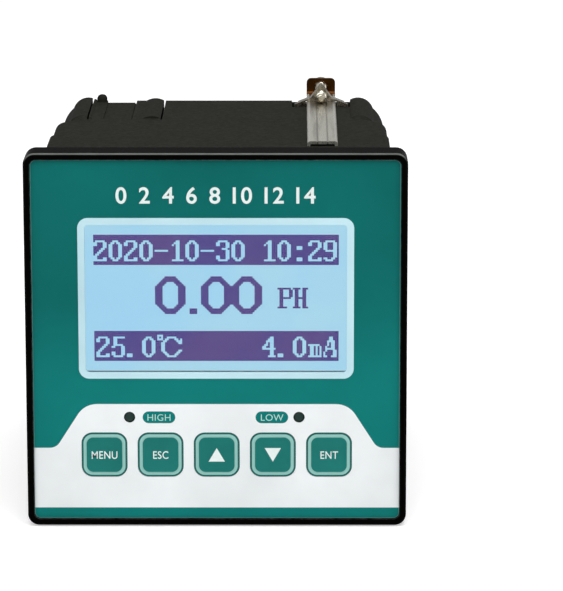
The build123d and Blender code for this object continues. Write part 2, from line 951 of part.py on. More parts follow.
def terminal_block(side):
    """A row of screw terminals on a shelf board's tail."""
    body = block((-block_width / 2, block_width / 2), (block_front, block_back), block_z_range(side))
    body = chamfer(body.faces().sort_by(Axis.Y)[-1].edges(), block_edge)
    screw_height = side * (shelf_top + pole_screw_rise)
    mouth_height = side * (shelf_top + wire_mouth_rise)
    for x in pole_places():
        body -= rod(x, screw_height, pole_screw_radius + pole_screw_gap,
                    block_back - pole_screw_sink - pole_screw_length, block_back)
        body -= block((x - wire_mouth / 2, x + wire_mouth / 2), (block_back - wire_mouth_depth, block_back),
                      (mouth_height - wire_mouth / 2, mouth_height + wire_mouth / 2))
    return body


def terminal_screws(side):
    """The slotted screws of one terminal block."""
    back = block_back - pole_screw_sink
    height = side * (shelf_top + pole_screw_rise)
    screws = []
    for x in pole_places():
        body = rod(x, height, pole_screw_radius, back - pole_screw_length, back)
        slot = block((x - pole_pitch / 2, x + pole_pitch / 2), (back - pole_slot_depth, back + past),
                     (height - pole_slot_width / 2, height + pole_slot_width / 2))
        screws.append(body - slot)
    return group(screws)


# Clamp

def anchor_outline():
    """Front outline of the anchor: a gable over the screw and sloping wings."""
    wing_x = pocket_width / 2 - wing_gap
    right = [(shoulder_x, screw_z - shoulder_under_screw), (wing_x, half_case + wing_rise), (wing_x, pocket_z)]
    left = [(-x, z) for x, z in reversed(right)]
    return Pos(clamp_x, 0) * Polygon((0, screw_z + apex_over_screw), *right, *left, align=None)


def anchor_flange_shape():
    """The folded rim that follows the gable's and the wings' upper edges."""
    overlap = web_back - anchor_web / 3
    rim = slab(anchor_outline(), overlap, flange_back)
    inside = offset(anchor_outline(), -anchor_rim, kind=Kind.INTERSECTION)
    rim -= slab(inside, overlap, flange_back)
    below = block((clamp_x - pocket_width, clamp_x + pocket_width), (web_front, flange_back + past),
                  (pocket_z - past, half_case + flange_start_rise))
    return rim - below


def anchor_foot(side, tunnel):
    """A foot that lies on the pocket's floor and hooks under the lip."""
    inner = clamp_x + side * (tunnel + foot_gap)
    narrow = clamp_x + side * (pocket_width / 2 - foot_gap)
    wide = clamp_x + side * (pocket_width / 2 + pocket_lip - foot_lip_gap)
    back = pocket_back - foot_back_gap
    foot_z = (pocket_z, pocket_z + anchor_sheet)
    foot = block(sorted((inner, narrow)), (web_front, back), foot_z)
    return foot + block(sorted((inner, wide)), (lip_front + foot_lip_gap, back), foot_z)


def clamp_anchor():
    """The stamped anchor: web with a tapped hole, gable flange and two hooked feet."""
    tunnel = strip_width / 2 + anchor_clearance
    over_strip = strip_top + screw_gap
    through = (web_front - past, flange_back + past)
    body = slab(anchor_outline(), web_front, web_back) + anchor_flange_shape()
    body -= block((clamp_x - tunnel, clamp_x + tunnel), through, (pocket_z - past, over_strip))
    for side in (-1, 1):
        body += anchor_foot(side, tunnel)
    body -= rod(clamp_x, screw_z, screw_radius + fit_gap, *through)
    slot = block((clamp_x - slot_half_width, clamp_x + slot_half_width), (web_front - past, web_back + past),
                 (over_strip - past, screw_z))
    return body - slot


def strip_channel():
    """The strip's long part: a shallow channel, open below, with two beads along its top."""
    section = RectangleRounded(strip_width, 2 * strip_height, strip_corner)
    section -= RectangleRounded(strip_width - 2 * strip_sheet, 2 * (strip_height - strip_sheet), strip_inner_corner)
    section &= Pos(0, strip_height / 2) * Rectangle(strip_width, strip_height)
    back = tab_front - strip_fold_length
    channel = slab(Pos(clamp_x, strip_bottom) * section, strip_front, back)
    for side in (-1, 1):
        bead_z = strip_top + bead_radius - bead_sink
        channel -= rod(clamp_x + side * bead_x, bead_z, bead_radius, strip_front, back)
    return channel


def strip_tab():
    """The strip's flat rear end, bent up into the tab that takes the screw."""
    half = strip_width / 2
    sheet_low = strip_top - strip_sheet
    across = (clamp_x - half, clamp_x + half)
    fold = block(across, (tab_front - strip_fold_length, tab_back), (sheet_low, strip_top))
    fold += block(across, (tab_front, tab_back), (sheet_low, tab_top))
    heel = fold.edges().filter_by(Axis.X).sort_by(lambda e: e.center().Y - e.center().Z)[-1]
    fold = fillet(heel, strip_heel)
    crease = fold.edges().filter_by(Axis.X).sort_by(
        lambda e: abs(e.center().Y - tab_front) + abs(e.center().Z - strip_top))[0]
    fold = fillet(crease, strip_crease)
    tips = fold.edges().filter_by(Axis.Y).group_by(Axis.Z)[-1]
    return fillet(tips, tab_corner)


def clamp_strip():
    """The folded strip with the clearance hole in its tab."""
    body = strip_channel() + strip_tab()
    return body - rod(clamp_x, screw_z, screw_radius + tab_hole_gap, tab_front - past, tab_back + past)


def clamp_screw():
    """The clamp's screw: domed tip, plain shank and a cross-recessed pan head."""
    under = tab_back + screw_gap
    top = under + screw_head_height
    shank = rod(clamp_x, screw_z, screw_radius, under - screw_length, under)
    shank = fillet(shank.faces().sort_by(Axis.Y)[0].edges(), screw_tip)
    head = rod(clamp_x, screw_z, screw_head_radius, under, top)
    head = fillet(head.faces().sort_by(Axis.Y)[-1].edges(), screw_head_round)
    body = shank + head
    for width, height in ((recess_length, recess_width), (recess_width, recess_length)):
        body -= block((clamp_x - width / 2, clamp_x + width / 2), (top - recess_depth, top + past),
                      (screw_z - height / 2, screw_z + height / 2))
    return body


# Every node and its shape

def pieces():
    """All sub-parts by name."""
    nodes = {
        "front_bezel": front_bezel(),
        "bezel_screws": bezel_screws(),
        "front_film": front_film(),
        "film_white_field": film_white_field(),
        "window_border": window_border(),
        "display_window": display_window(),
        "lcd_metal_frame": lcd_metal_frame(),
        "lcd_glass": lcd_glass(),
        "lcd_backlight": lcd_backlight(),
        "lcd_board": lcd_board(),
        "display_header": display_header(),
        "front_board": front_board(),
        "board_screws": board_screws(),
        "signal_board": shelf_board(1),
        "power_board": shelf_board(-1),
        "signal_header": shelf_header(shelf_top),
        "power_header": shelf_header(power_top),
        "input_shield": input_shield(),
        "processor_chip": processor_chip(),
        "isolated_supply": isolated_supply(),
        "optocouplers": optocouplers(),
        "transformer_core": transformer_core(),
        "transformer_coil": transformer_coil(),
        "relay_high": relay(0),
        "relay_low": relay(1),
        "capacitors": capacitors(),
        "fuse": fuse(),
        "case": case(),
        "rear_cover": rear_cover(),
        "terminal_block_upper": terminal_block(1),
        "terminal_block_lower": terminal_block(-1),
        "terminal_screws_upper": terminal_screws(1),
        "terminal_screws_lower": terminal_screws(-1),
        "clamp_anchor": clamp_anchor(),
        "clamp_strip": clamp_strip(),
        "clamp_screw": clamp_screw(),
    }
    for name, x in zip(key_names, key_places):
        nodes["key_" + name] = key(x)
        nodes["switch_" + name] = switch_body(x)
        nodes["switch_stem_" + name] = switch_stem(x)
    for name, x in lamp_places.items():
        nodes["lamp_" + name] = lamp(x)
    return nodes


os.makedirs("parts", exist_ok=True)
for node, shape in pieces().items():
    export_step(shape, f"parts/{node}.step")
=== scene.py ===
"""Looks of a panel-mount redox meter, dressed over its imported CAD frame.

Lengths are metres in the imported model's frame: X to the viewer's right, Y into the panel, Z up,
with the origin at the centre of the bezel's seat on the panel.
"""

import functools
import json
import logging
import math
from collections.abc import Callable, Iterable
from dataclasses import dataclass
from enum import Enum
from typing import ClassVar

import bmesh
import bpy
from mathutils import Matrix, Vector

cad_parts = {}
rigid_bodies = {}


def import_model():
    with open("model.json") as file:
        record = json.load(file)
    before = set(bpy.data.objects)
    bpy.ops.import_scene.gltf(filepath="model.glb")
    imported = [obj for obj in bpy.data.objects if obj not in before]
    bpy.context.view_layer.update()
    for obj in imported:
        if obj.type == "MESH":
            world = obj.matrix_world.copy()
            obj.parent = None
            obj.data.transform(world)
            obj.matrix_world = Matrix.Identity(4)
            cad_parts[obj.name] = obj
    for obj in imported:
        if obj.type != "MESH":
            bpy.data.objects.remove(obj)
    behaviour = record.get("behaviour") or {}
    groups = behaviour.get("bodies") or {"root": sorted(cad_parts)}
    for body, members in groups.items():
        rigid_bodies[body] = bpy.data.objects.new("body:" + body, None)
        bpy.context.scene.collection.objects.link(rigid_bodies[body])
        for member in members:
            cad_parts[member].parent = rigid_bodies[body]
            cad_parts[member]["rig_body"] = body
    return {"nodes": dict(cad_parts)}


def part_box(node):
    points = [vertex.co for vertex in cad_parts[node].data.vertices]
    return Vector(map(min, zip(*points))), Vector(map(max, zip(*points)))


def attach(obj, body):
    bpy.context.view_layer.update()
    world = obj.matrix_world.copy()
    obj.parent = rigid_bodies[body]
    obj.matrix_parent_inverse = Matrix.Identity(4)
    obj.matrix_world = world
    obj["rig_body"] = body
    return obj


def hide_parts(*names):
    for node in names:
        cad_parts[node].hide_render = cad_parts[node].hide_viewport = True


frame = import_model()

MM = 0.001
log = logging.getLogger("redox_meter")

Colour = tuple[float, float, float]
Point = tuple[float, float, float]
Span = tuple[float, float]
Dot = tuple[int, int]
Socket = bpy.types.NodeSocket
Sockets = dict[str, Socket]
Feeds = dict[str, object]
Outputs = bpy.types.NodeOutputs
Work = bmesh.types.BMesh
Mesh = bpy.types.Mesh
Piece = bpy.types.Object


class Body(Enum):
    """The CAD bodies that added pieces ride on."""

    METER = "meter"
    CLAMP_TURN = "clamp_turn"


class Key(Enum):
    """The five keys, each by its name in the CAD nodes and its legend."""

    MENU = ("menu", "MENU")
    ESCAPE = ("escape", "ESC")
    UP = ("up", "")
    DOWN = ("down", "")
    ENTER = ("enter", "ENT")

    @property
    def node(self) -> str:
        """The key's CAD node."""
        return f"key_{self.value[0]}"

    @property
    def body(self) -> str:
        """The CAD body that the key moves with."""
        return f"{self.value[0]}_key"

    @property
    def legend(self) -> str:
        """The control word printed on the key, or nothing where it has an arrow."""
        return self.value[1]


# Node trees

class Graph:
    """A shader node tree with short calls that add nodes and join sockets."""

    def __init__(self, tree: bpy.types.NodeTree) -> None:
        """Works on one tree.

        Args:
            tree: the node tree of a material, group or world.
        """
        self.tree = tree

    def add(self, kind: str, **settings: object) -> bpy.types.Node:
        """Adds a node.

        Args:
            kind: Blender's name of the node type.
            **settings: properties to set on the node.

        Returns:
            The new node.
        """
        node = self.tree.nodes.new(kind)
        for name, value in settings.items():
            setattr(node, name, value)
        return node

    def feed(self, target: Socket, source: object) -> None:
        """Joins a socket to the target, or writes a plain value there.

        Args:
            target: the input socket.
            source: an output socket, a number, a vector or a colour of three numbers.
        """
        if isinstance(source, Socket):
            self.tree.links.new(source, target)
        elif target.type == "RGBA":
            target.default_value = (*source, 1.0)
        else:
            target.default_value = source

    def coordinates(self) -> Socket:
        """The piece's own coordinates, in metres."""
        return self.add("ShaderNodeTexCoord").outputs["Object"]

    def normal(self) -> Socket:
        """The surface's normal, without any bump."""
        return self.add("ShaderNodeNewGeometry").outputs["Normal"]

    def axes(self, vector: Socket) -> Outputs:
        """Takes a vector apart.

        Args:
            vector: the vector.

        Returns:
            Its parts, named X, Y and Z.
        """
        node = self.add("ShaderNodeSeparateXYZ")
        self.feed(node.inputs[0], vector)
        return node.outputs

    def maths(self, operation: str, *values: object, clamp: bool = False) -> Socket:
        """Adds one step of arithmetic.

        Args:
            operation: the Math node's operation.
            *values: its inputs, as sockets or numbers.
            clamp: keeps the result between 0 and 1.

        Returns:
            The result's socket.
        """
        node = self.add("ShaderNodeMath", operation=operation, use_clamp=clamp)
        for socket, value in zip(node.inputs, values):
            self.feed(socket, value)
        return node.outputs[0]

    def apart(self, first: object, second: object) -> Socket:
        """How far two values are apart.

        Args:
            first: a socket or a number.
            second: a socket or a number.

        Returns:
            The distance's socket.
        """
        return self.maths("ABSOLUTE", self.maths("SUBTRACT", first, second))

    def product(self, first: object, *others: object) -> Socket:
        """Multiplies values.

        Args:
            first: a socket or a number.
            *others: what it is multiplied by.

        Returns:
            The result's socket.
        """
        for other in others:
            first = self.maths("MULTIPLY", first, other)
        return first

    def spread(self, value: object, low: object, high: object, start: object = 0.0, end: object = 1.0,
               smooth: bool = False) -> Socket:
        """Maps a value's range onto another and clamps it.

        Args:
            value: what is mapped.
            low: the value that gives start.
            high: the value that gives end.
            start: the result at low.
            end: the result at high.
            smooth: eases the change at both ends.

        Returns:
            The mapped value's socket.
        """
        node = self.add("ShaderNodeMapRange", interpolation_type="SMOOTHSTEP" if smooth else "LINEAR")
        for socket, source in zip(node.inputs, (value, low, high, start, end)):
            self.feed(socket, source)
        return node.outputs["Result"]

    def blend(self, share: object, first: object, second: object) -> Socket:
        """Mixes two colours.

        Args:
            share: how much of the second colour shows, from 0 to 1.
            first: the colour at 0.
            second: the colour at 1.

        Returns:
            The mixed colour's socket.
        """
        node = self.add("ShaderNodeMix", data_type="RGBA")
        sockets = {s.identifier: s for s in node.inputs}
        for name, source in (("Factor_Float", share), ("A_Color", first), ("B_Color", second)):
            self.feed(sockets[name], source)
        return next(s for s in node.outputs if s.identifier == "Result_Color")

    def dim(self, colour: Socket, factor: Socket) -> Socket:
        """Multiplies a colour.

        Args:
            colour: the colour.
            factor: what it is multiplied by.

        Returns:
            The result's socket.
        """
        node = self.add("ShaderNodeVectorMath", operation="SCALE")
        self.feed(node.inputs[0], colour)
        self.feed(node.inputs["Scale"], factor)
        return node.outputs[0]

    def noise(self, scale: object, detail: float = 2.0, stretch: Point | None = None) -> Socket:
        """Adds noise in the piece's own coordinates.

        Args:
            scale: cells per metre.
            detail: octaves.
            stretch: multiplies the coordinates first, to draw the noise out along an axis.

        Returns:
            The noise's value, from 0 to 1.
        """
        place = self.coordinates()
        if stretch is not None:
            mapping = self.add("ShaderNodeMapping")
            self.feed(mapping.inputs["Vector"], place)
            self.feed(mapping.inputs["Scale"], stretch)
            place = mapping.outputs["Vector"]
        node = self.add("ShaderNodeTexNoise")
        self.feed(node.inputs["Vector"], place)
        self.feed(node.inputs["Scale"], scale)
        self.feed(node.inputs["Detail"], detail)
        return node.outputs["Fac"]

    def bump(self, height: object, strength: float, distance: float) -> Socket:
        """Turns a height into a normal.

        Args:
            height: the height, from 0 to 1.
            strength: how much of it shows.
            distance: the depth of a full step, in metres.

        Returns:
            The normal's socket.
        """
        node = self.add("ShaderNodeBump")
        self.feed(node.inputs["Height"], height)
        self.feed(node.inputs["Strength"], strength)
        self.feed(node.inputs["Distance"], distance)
        return node.outputs["Normal"]

    def seen_share(self) -> Socket:
        """1 for rays of the camera and of glass, and 0 for rays that light the object."""
        path = self.add("ShaderNodeLightPath").outputs
        return self.maths("MAXIMUM", path["Is Camera Ray"], path["Is Transmission Ray"])


# Effects that several finishes share, and the range that most noise keeps to beside the whole range

MOST = (0.3, 0.7)
WHOLE = (0.0, 1.0)


class Effect:
    """A shader node group, built once and placed in each material with its own values."""

    title: ClassVar[str]
    inputs: ClassVar[dict[str, float]]
    outputs: ClassVar[tuple[str, ...]]

    @classmethod
    @functools.cache
    def tree(cls) -> bpy.types.NodeTree:
        """The group's node tree, made on first use."""
        made = bpy.data.node_groups.new(cls.title, "ShaderNodeTree")
        for name, value in cls.inputs.items():
            socket = made.interface.new_socket(name, in_out="INPUT", socket_type="NodeSocketFloat")
            socket.default_value = value
        for name in cls.outputs:
            made.interface.new_socket(name, in_out="OUTPUT", socket_type="NodeSocketFloat")
        graph = Graph(made)
        given = graph.add("NodeGroupInput").outputs
        end = graph.add("NodeGroupOutput")
        for name, source in cls.wire(graph, given).items():
            graph.feed(end.inputs[name], source)
        return made

    @classmethod
    def wire(cls, graph: Graph, given: Outputs) -> Sockets:
        """Builds the group's inside.

        Args:
            graph: the group's tree.
            given: the group's input values, by name.

        Returns:
            What each output shows, by name.
        """
        raise NotImplementedError

    @classmethod
    def place(cls, graph: Graph, **values: object) -> Outputs:
        """Puts the group into a material.

        Args:
            graph: the material's tree.
            **values: input values, as numbers or sockets.

        Returns:
            The placed node's outputs, by name.
        """
        node = graph.add("ShaderNodeGroup", node_tree=cls.tree())
        for name, value in values.items():
            graph.feed(node.inputs[name], value)
        return node.outputs


class MouldGrain(Effect):
    """The fine spark-eroded texture that a mould leaves on plastic."""

    title = "mould grain"
    inputs = {"Scale": 2500.0, "Contrast": 0.5}
    outputs = ("Height", "Tone")
    coarse_scale: ClassVar[float] = 0.31
    fine_share: ClassVar[float] = 0.65
    coarse_share: ClassVar[float] = 0.35
    drift_scale: ClassVar[float] = 45.0
    middle: ClassVar[float] = 0.5

    @classmethod
    def wire(cls, graph: Graph, given: Outputs) -> Sockets:
        """Two sizes of grain, and a slow drift in tone. See Effect.wire."""
        fine = graph.noise(given["Scale"], 3.0)
        coarse = graph.noise(graph.product(given["Scale"], cls.coarse_scale), 1.0)
        shares = graph.product(fine, cls.fine_share), graph.product(coarse, cls.coarse_share)
        drift = graph.maths("SUBTRACT", graph.noise(cls.drift_scale, 3.0), cls.middle)
        tone = graph.maths("ADD", graph.product(drift, given["Contrast"]), cls.middle, clamp=True)
        return {"Height": graph.maths("ADD", *shares), "Tone": tone}


class WornEdge(Effect):
    """Edges that handling has polished or scuffed, which also carry a painted highlight where rounded edges
    catch the lamps.
    """

    title = "edge wear and painted highlight"
    inputs = {"Radius": 0.0003, "Amount": 1.0}
    outputs = ("Mask",)
    turn: ClassVar[Span] = (0.99, 0.80)
    gaps_scale: ClassVar[float] = 700.0
    gaps: ClassVar[Span] = (0.30, 0.62)

    @classmethod
    def wire(cls, graph: Graph, given: Outputs) -> Sockets:
        """Compares the rounded normal with the true one, broken up by noise. See Effect.wire."""
        rounded = graph.add("ShaderNodeBevel", samples=4)
        graph.feed(rounded.inputs["Radius"], given["Radius"])
        dot = graph.add("ShaderNodeVectorMath", operation="DOT_PRODUCT")
        graph.feed(dot.inputs[0], rounded.outputs["Normal"])
        graph.feed(dot.inputs[1], graph.normal())
        turned = graph.spread(dot.outputs["Value"], *cls.turn)
        broken = graph.spread(graph.noise(cls.gaps_scale, 3.0), *cls.gaps)
        return {"Mask": graph.product(turned, broken, given["Amount"])}


class UpperGlint(Effect):
    """A painted highlight: the bright line of light that a rounded upper edge would show to the front,
    painted into the base colour.
    """

    title = "painted upper highlight"
    inputs = {"Amount": 0.0}
    outputs = ("Mask",)
    turn: ClassVar[Span] = (0.08, 0.40)
    least: ClassVar[float] = 0.7

    @classmethod
    def wire(cls, graph: Graph, given: Outputs) -> Sockets:
        """Strongest where the normal looks both forward and up. See Effect.wire."""
        normal = graph.axes(graph.normal())
        turned = graph.spread(graph.product(normal["Y"], -1.0, normal["Z"]), *cls.turn)
        uneven = graph.spread(graph.noise(160.0, 3.0), 0.25, 0.60, cls.least, 1.0)
        return {"Mask": graph.product(turned, uneven, given["Amount"])}


class SettledDust(Effect):
    """Thin dust on faces that look up."""

    title = "settled dust"
    inputs = {"Amount": 0.1}
    outputs = ("Mask",)
    slope: ClassVar[Span] = (0.4, 1.0)

    @classmethod
    def wire(cls, graph: Graph, given: Outputs) -> Sockets:
        """Takes the upward share of the normal and breaks it up. See Effect.wire."""
        upward = graph.spread(graph.axes(graph.normal())["Z"], *cls.slope)
        specks = graph.spread(graph.noise(900.0, 4.0), 0.35, 0.75)
        return {"Mask": graph.product(upward, specks, given["Amount"])}


class DrawnLines(Effect):
    """Lines that rolling or drawing leaves along a strip of metal."""

    title = "drawn lines"
    inputs = {"Scale": 9000.0, "Drift": 120.0}
    outputs = ("Height", "Streak")
    fine_stretch: ClassVar[Point] = (1.0, 0.012, 1.0)
    broad_stretch: ClassVar[Point] = (5.0, 0.35, 5.0)

    @classmethod
    def wire(cls, graph: Graph, given: Outputs) -> Sockets:
        """Noise drawn out along the depth axis, in a fine and a broad size. See Effect.wire."""
        fine = graph.noise(given["Scale"], 2.0, cls.fine_stretch)
        broad = graph.noise(given["Drift"], 3.0, cls.broad_stretch)
        return {"Height": fine, "Streak": broad}


class HandMarks(Effect):
    """Faint smears that make gloss uneven."""

    title = "hand marks"
    inputs = {"Scale": 70.0}
    outputs = ("Smear",)

    @classmethod
    def wire(cls, graph: Graph, given: Outputs) -> Sockets:
        """Large soft patches. See Effect.wire."""
        return {"Smear": graph.spread(graph.noise(given["Scale"], 4.0), 0.35, 0.70, smooth=True)}


class PrintLayer(Effect):
    """Screen-printed ink under a textured film."""

    title = "print layer"
    inputs = {"Texture": 4200.0, "Drift": 28.0}
    outputs = ("Height", "Tone")

    @classmethod
    def wire(cls, graph: Graph, given: Outputs) -> Sockets:
        """The film's fine texture and the ink's slow change in density. See Effect.wire."""
        texture = graph.noise(given["Texture"], 2.0)
        drift = graph.noise(given["Drift"], 4.0)
        return {"Height": texture, "Tone": graph.spread(drift, *MOST)}


class RoundedSquare(Effect):
    """Distance from a rounded square's outline in the face's plane, negative inside."""

    title = "rounded square"
    inputs = {"CentreX": 0.0, "CentreZ": 0.0, "Half": 0.005, "Corner": 0.001}
    outputs = ("Distance",)

    @classmethod
    def wire(cls, graph: Graph, given: Outputs) -> Sockets:
        """The usual distance to a box, less its corner radius. See Effect.wire."""
        place = graph.axes(graph.coordinates())
        core = graph.maths("SUBTRACT", given["Half"], given["Corner"])
        past = [graph.maths("SUBTRACT", graph.apart(place[axis], given[f"Centre{axis}"]), core)
                for axis in ("X", "Z")]
        outside = [graph.maths("MAXIMUM", p, 0.0) for p in past]
        squares = [graph.product(p, p) for p in outside]
        length = graph.maths("SQRT", graph.maths("ADD", *squares))
        inside = graph.maths("MINIMUM", graph.maths("MAXIMUM", *past), 0.0)
        return {"Distance": graph.maths("SUBTRACT", graph.maths("ADD", length, inside), given["Corner"])}


# Finishes

DUST = (0.30, 0.29, 0.27)
# the colour that steel edges go to: partly rubbed wear, partly painted edge highlight
RUBBED_AND_HIGHLIGHT_STEEL = (0.82, 0.80, 0.74)
FILM_TEXTURE = 0.00001
PLAIN_WHITE = (1.0, 1.0, 1.0)


def scaled(colour: Colour, factor: float) -> Colour:
    """The colour made lighter or darker by a factor."""
    return tuple(min(1.0, part * factor) for part in colour)


@dataclass(frozen=True)
class Finish:
    """A material that is made once. Every finish has a name, a main colour and a roughness."""

    name: str
    colour: Colour
    roughness: float

    @functools.cache
    def material(self) -> bpy.types.Material:
        """The Blender material, made on first use."""
        made = bpy.data.materials.new(self.name)
        made.use_nodes = True
        graph = Graph(made.node_tree)
        shader = made.node_tree.nodes["Principled BSDF"].inputs
        for name, source in self.wire(graph).items():
            graph.feed(shader[name], source)
        return made

    def wire(self, graph: Graph) -> Feeds:
        """Builds what the Principled shader is fed.

        Args:
            graph: the material's tree.

        Returns:
            A socket or a plain value for each of the shader's inputs, by name.
        """
        raise NotImplementedError

    def toned(self, graph: Graph, pattern: Socket, dark: float, light: float) -> Socket:
        """The main colour, made darker and lighter by a pattern.

        Args:
            graph: the material's tree.
            pattern: the pattern, from 0 to 1.
            dark: the colour's factor at 0.
            light: the colour's factor at 1.

        Returns:
            The colour's socket.
        """
        return graph.blend(pattern, scaled(self.colour, dark), scaled(self.colour, light))

    def rough(self, graph: Graph, pattern: Socket, below: float, above: float,
              part: Span = MOST) -> Socket:
        """The roughness, changed by a pattern.

        Args:
            graph: the material's tree.
            pattern: the pattern.
            below: how far the roughness goes under its main value.
            above: how far it goes over its main value.
            part: the part of the pattern's range that counts.

        Returns:
            The roughness's socket.
        """
        return graph.spread(pattern, *part, self.roughness - below, self.roughness + above)


@dataclass(frozen=True)
class MouldedPlastic(Finish):
    """Injection-moulded plastic with mould grain, scuffed edges that also carry a painted edge highlight, an
    optional painted highlight along upper edges, and a little dust.
    """

    grain: float = 2400.0
    depth: float = 0.00002
    shine: float = 0.35
    # pale edge colour: partly wear, partly painted edge highlight
    edge: Colour = (0.11, 0.112, 0.105)
    edge_amount: float = 0.5
    edge_radius: float = 0.0003
    dust: float = 0.06
    # painted highlight along rounded upper edges: how much of it, and its colour
    glint: float = 0.0
    glint_colour: Colour = (0.150, 0.160, 0.150)

    def wire(self, graph: Graph) -> Feeds:
        """Grain lifts the roughness and the normal, edges go paler as wear and painted highlight, and upper
        edges can take a painted highlight. See Finish.wire.
        """
        grain = MouldGrain.place(graph, Scale=self.grain)
        wear_and_highlight = WornEdge.place(graph, Radius=self.edge_radius, Amount=self.edge_amount)
        glint = UpperGlint.place(graph, Amount=self.glint)
        dust = SettledDust.place(graph, Amount=self.dust)
        # edges go toward the edge colour: wear, and a painted highlight on rounded edges
        colour = graph.blend(wear_and_highlight["Mask"], self.toned(graph, grain["Tone"], 0.82, 1.2), self.edge)
        # painted highlight where the normal looks forward and up
        colour = graph.blend(glint["Mask"], colour, self.glint_colour)
        return {
            "Base Color": graph.blend(dust["Mask"], colour, DUST),
            "Roughness": self.rough(graph, grain["Height"], 0.07, 0.07),
            "Specular IOR Level": self.shine,
            "Normal": graph.bump(grain["Height"], 0.6, self.depth),
        }


@dataclass(frozen=True)
class PrintedFilm(Finish):
    """Ink printed behind a fine-textured polyester film, with a pale line along its outline and painted
    light that lightens its lower part.
    """

    shine: float = 0.09
    edge: Colour = (0.085, 0.30, 0.28)
    half: float = 0.04815
    corner: float = 0.0015
    edge_width: float = 0.00022
    # painted light: how much lighter the film is painted toward the bottom, and the heights where that
    # begins and ends
    low_tint: float = 1.0
    low_start: float = 0.012
    low_end: float = -0.012

    def wire(self, graph: Graph) -> Feeds:
        """Ink density drifts, the film's outline is lighter, and its lower part is painted lighter as
        painted light from below. See Finish.wire.
        """
        layer = PrintLayer.place(graph)
        smear = HandMarks.place(graph, Scale=55.0)
        outline = RoundedSquare.place(graph, Half=self.half, Corner=self.corner)
        rim = graph.spread(outline["Distance"], -self.edge_width, -0.5 * self.edge_width)
        height = graph.axes(graph.coordinates())["Z"]
        # painted light from below: the ink is made lighter toward the bottom
        low = graph.spread(height, self.low_start, self.low_end, 1.0, self.low_tint, smooth=True)
        ink = graph.dim(self.toned(graph, layer["Tone"], 0.90, 1.10), low)
        return {
            "Base Color": graph.blend(rim, ink, self.edge),
            "Roughness": self.rough(graph, smear["Smear"], 0.05, 0.07, WHOLE),
            "Specular IOR Level": self.shine,
            "Normal": graph.bump(layer["Height"], 0.35, FILM_TEXTURE),
        }


@dataclass(frozen=True)
class KeyFace(Finish):
    """A printed key: coloured pad, pale ring and a thin coloured outline."""

    ring: Colour = (0.285, 0.535, 0.49)
    centre_x: float = 0.0
    centre_z: float = 0.0
    pad_half: float = 0.0047
    pad_corner: float = 0.0018
    skin_half: float = 0.005925
    skin_corner: float = 0.0028
    outline_width: float = 0.00042
    outline_tone: float = 0.75
    soft: float = 0.00005
    shine: float = 0.09

    def wire(self, graph: Graph) -> Feeds:
        """Colours by the distance from the pad and from the skin's outline. See Finish.wire."""
        centre = {"CentreX": self.centre_x, "CentreZ": self.centre_z}
        pad = RoundedSquare.place(graph, Half=self.pad_half, Corner=self.pad_corner, **centre)
        skin = RoundedSquare.place(graph, Half=self.skin_half, Corner=self.skin_corner, **centre)
        layer = PrintLayer.place(graph, Drift=90.0)
        off_pad = graph.spread(pad["Distance"], -self.soft, self.soft)
        starts, ends = -self.outline_width - self.soft, -self.outline_width + self.soft
        outline = graph.spread(skin["Distance"], starts, ends)
        ring = graph.product(off_pad, graph.maths("SUBTRACT", 1.0, outline))
        ink = self.toned(graph, layer["Tone"], 0.9, 1.1)
        edge = graph.blend(outline, ink, scaled(self.colour, self.outline_tone))
        return {
            "Base Color": graph.blend(ring, edge, self.ring),
            "Roughness": self.rough(graph, layer["Tone"], 0.04, 0.05, WHOLE),
            "Specular IOR Level": self.shine,
            "Normal": graph.bump(layer["Height"], 0.35, FILM_TEXTURE),
        }


@dataclass(frozen=True)
class Ink(Finish):
    """Opaque print: words, numbers and arrows."""

    def wire(self, graph: Graph) -> Feeds:
        """Slightly uneven cover. See Finish.wire."""
        layer = PrintLayer.place(graph, Drift=400.0)
        return {
            "Base Color": self.toned(graph, layer["Tone"], 0.93, 1.04),
            "Roughness": self.rough(graph, layer["Height"], 0.05, 0.05),
            "Normal": graph.bump(layer["Height"], 0.3, FILM_TEXTURE),
        }


@dataclass(frozen=True)
class LitPanel(Finish):
    """The lit face of the display, which glows and drifts a little in brightness."""

    strength: float = 1.0
    warm: Colour = (0.395, 0.675, 0.82)
    drift: float = 30.0
    cell_scale: float = 5200.0
    cell_low: float = 0.9
    cell_high: float = 1.06
    body_tone: float = 0.02
    shine: float = 0.05

    def wire(self, graph: Graph) -> Feeds:
        """Most of the light comes from the panel itself. See Finish.wire."""
        cloud = graph.noise(self.drift, 2.0)
        cells = graph.noise(self.cell_scale, 1.0)
        tint = graph.blend(graph.spread(cloud, 0.35, 0.65, smooth=True), self.colour, self.warm)
        level = graph.spread(cells, 0.2, 0.8, self.cell_low, self.cell_high)
        return {
            "Base Color": scaled(self.colour, self.body_tone),
            "Emission Color": graph.dim(tint, level),
            "Emission Strength": self.strength,
            "Roughness": self.roughness,
            "Specular IOR Level": self.shine,
        }


@dataclass(frozen=True)
class ClearPane(Finish):
    """Clear polished film or glass."""

    index: float = 1.22

    def wire(self, graph: Graph) -> Feeds:
        """Nearly clear, with faint smears in its gloss. See Finish.wire."""
        smear = HandMarks.place(graph, Scale=40.0)
        return {
            "Base Color": self.colour,
            "Transmission Weight": 1.0,
            "IOR": self.index,
            "Roughness": self.rough(graph, smear["Smear"], 0.0, 0.015, WHOLE),
        }


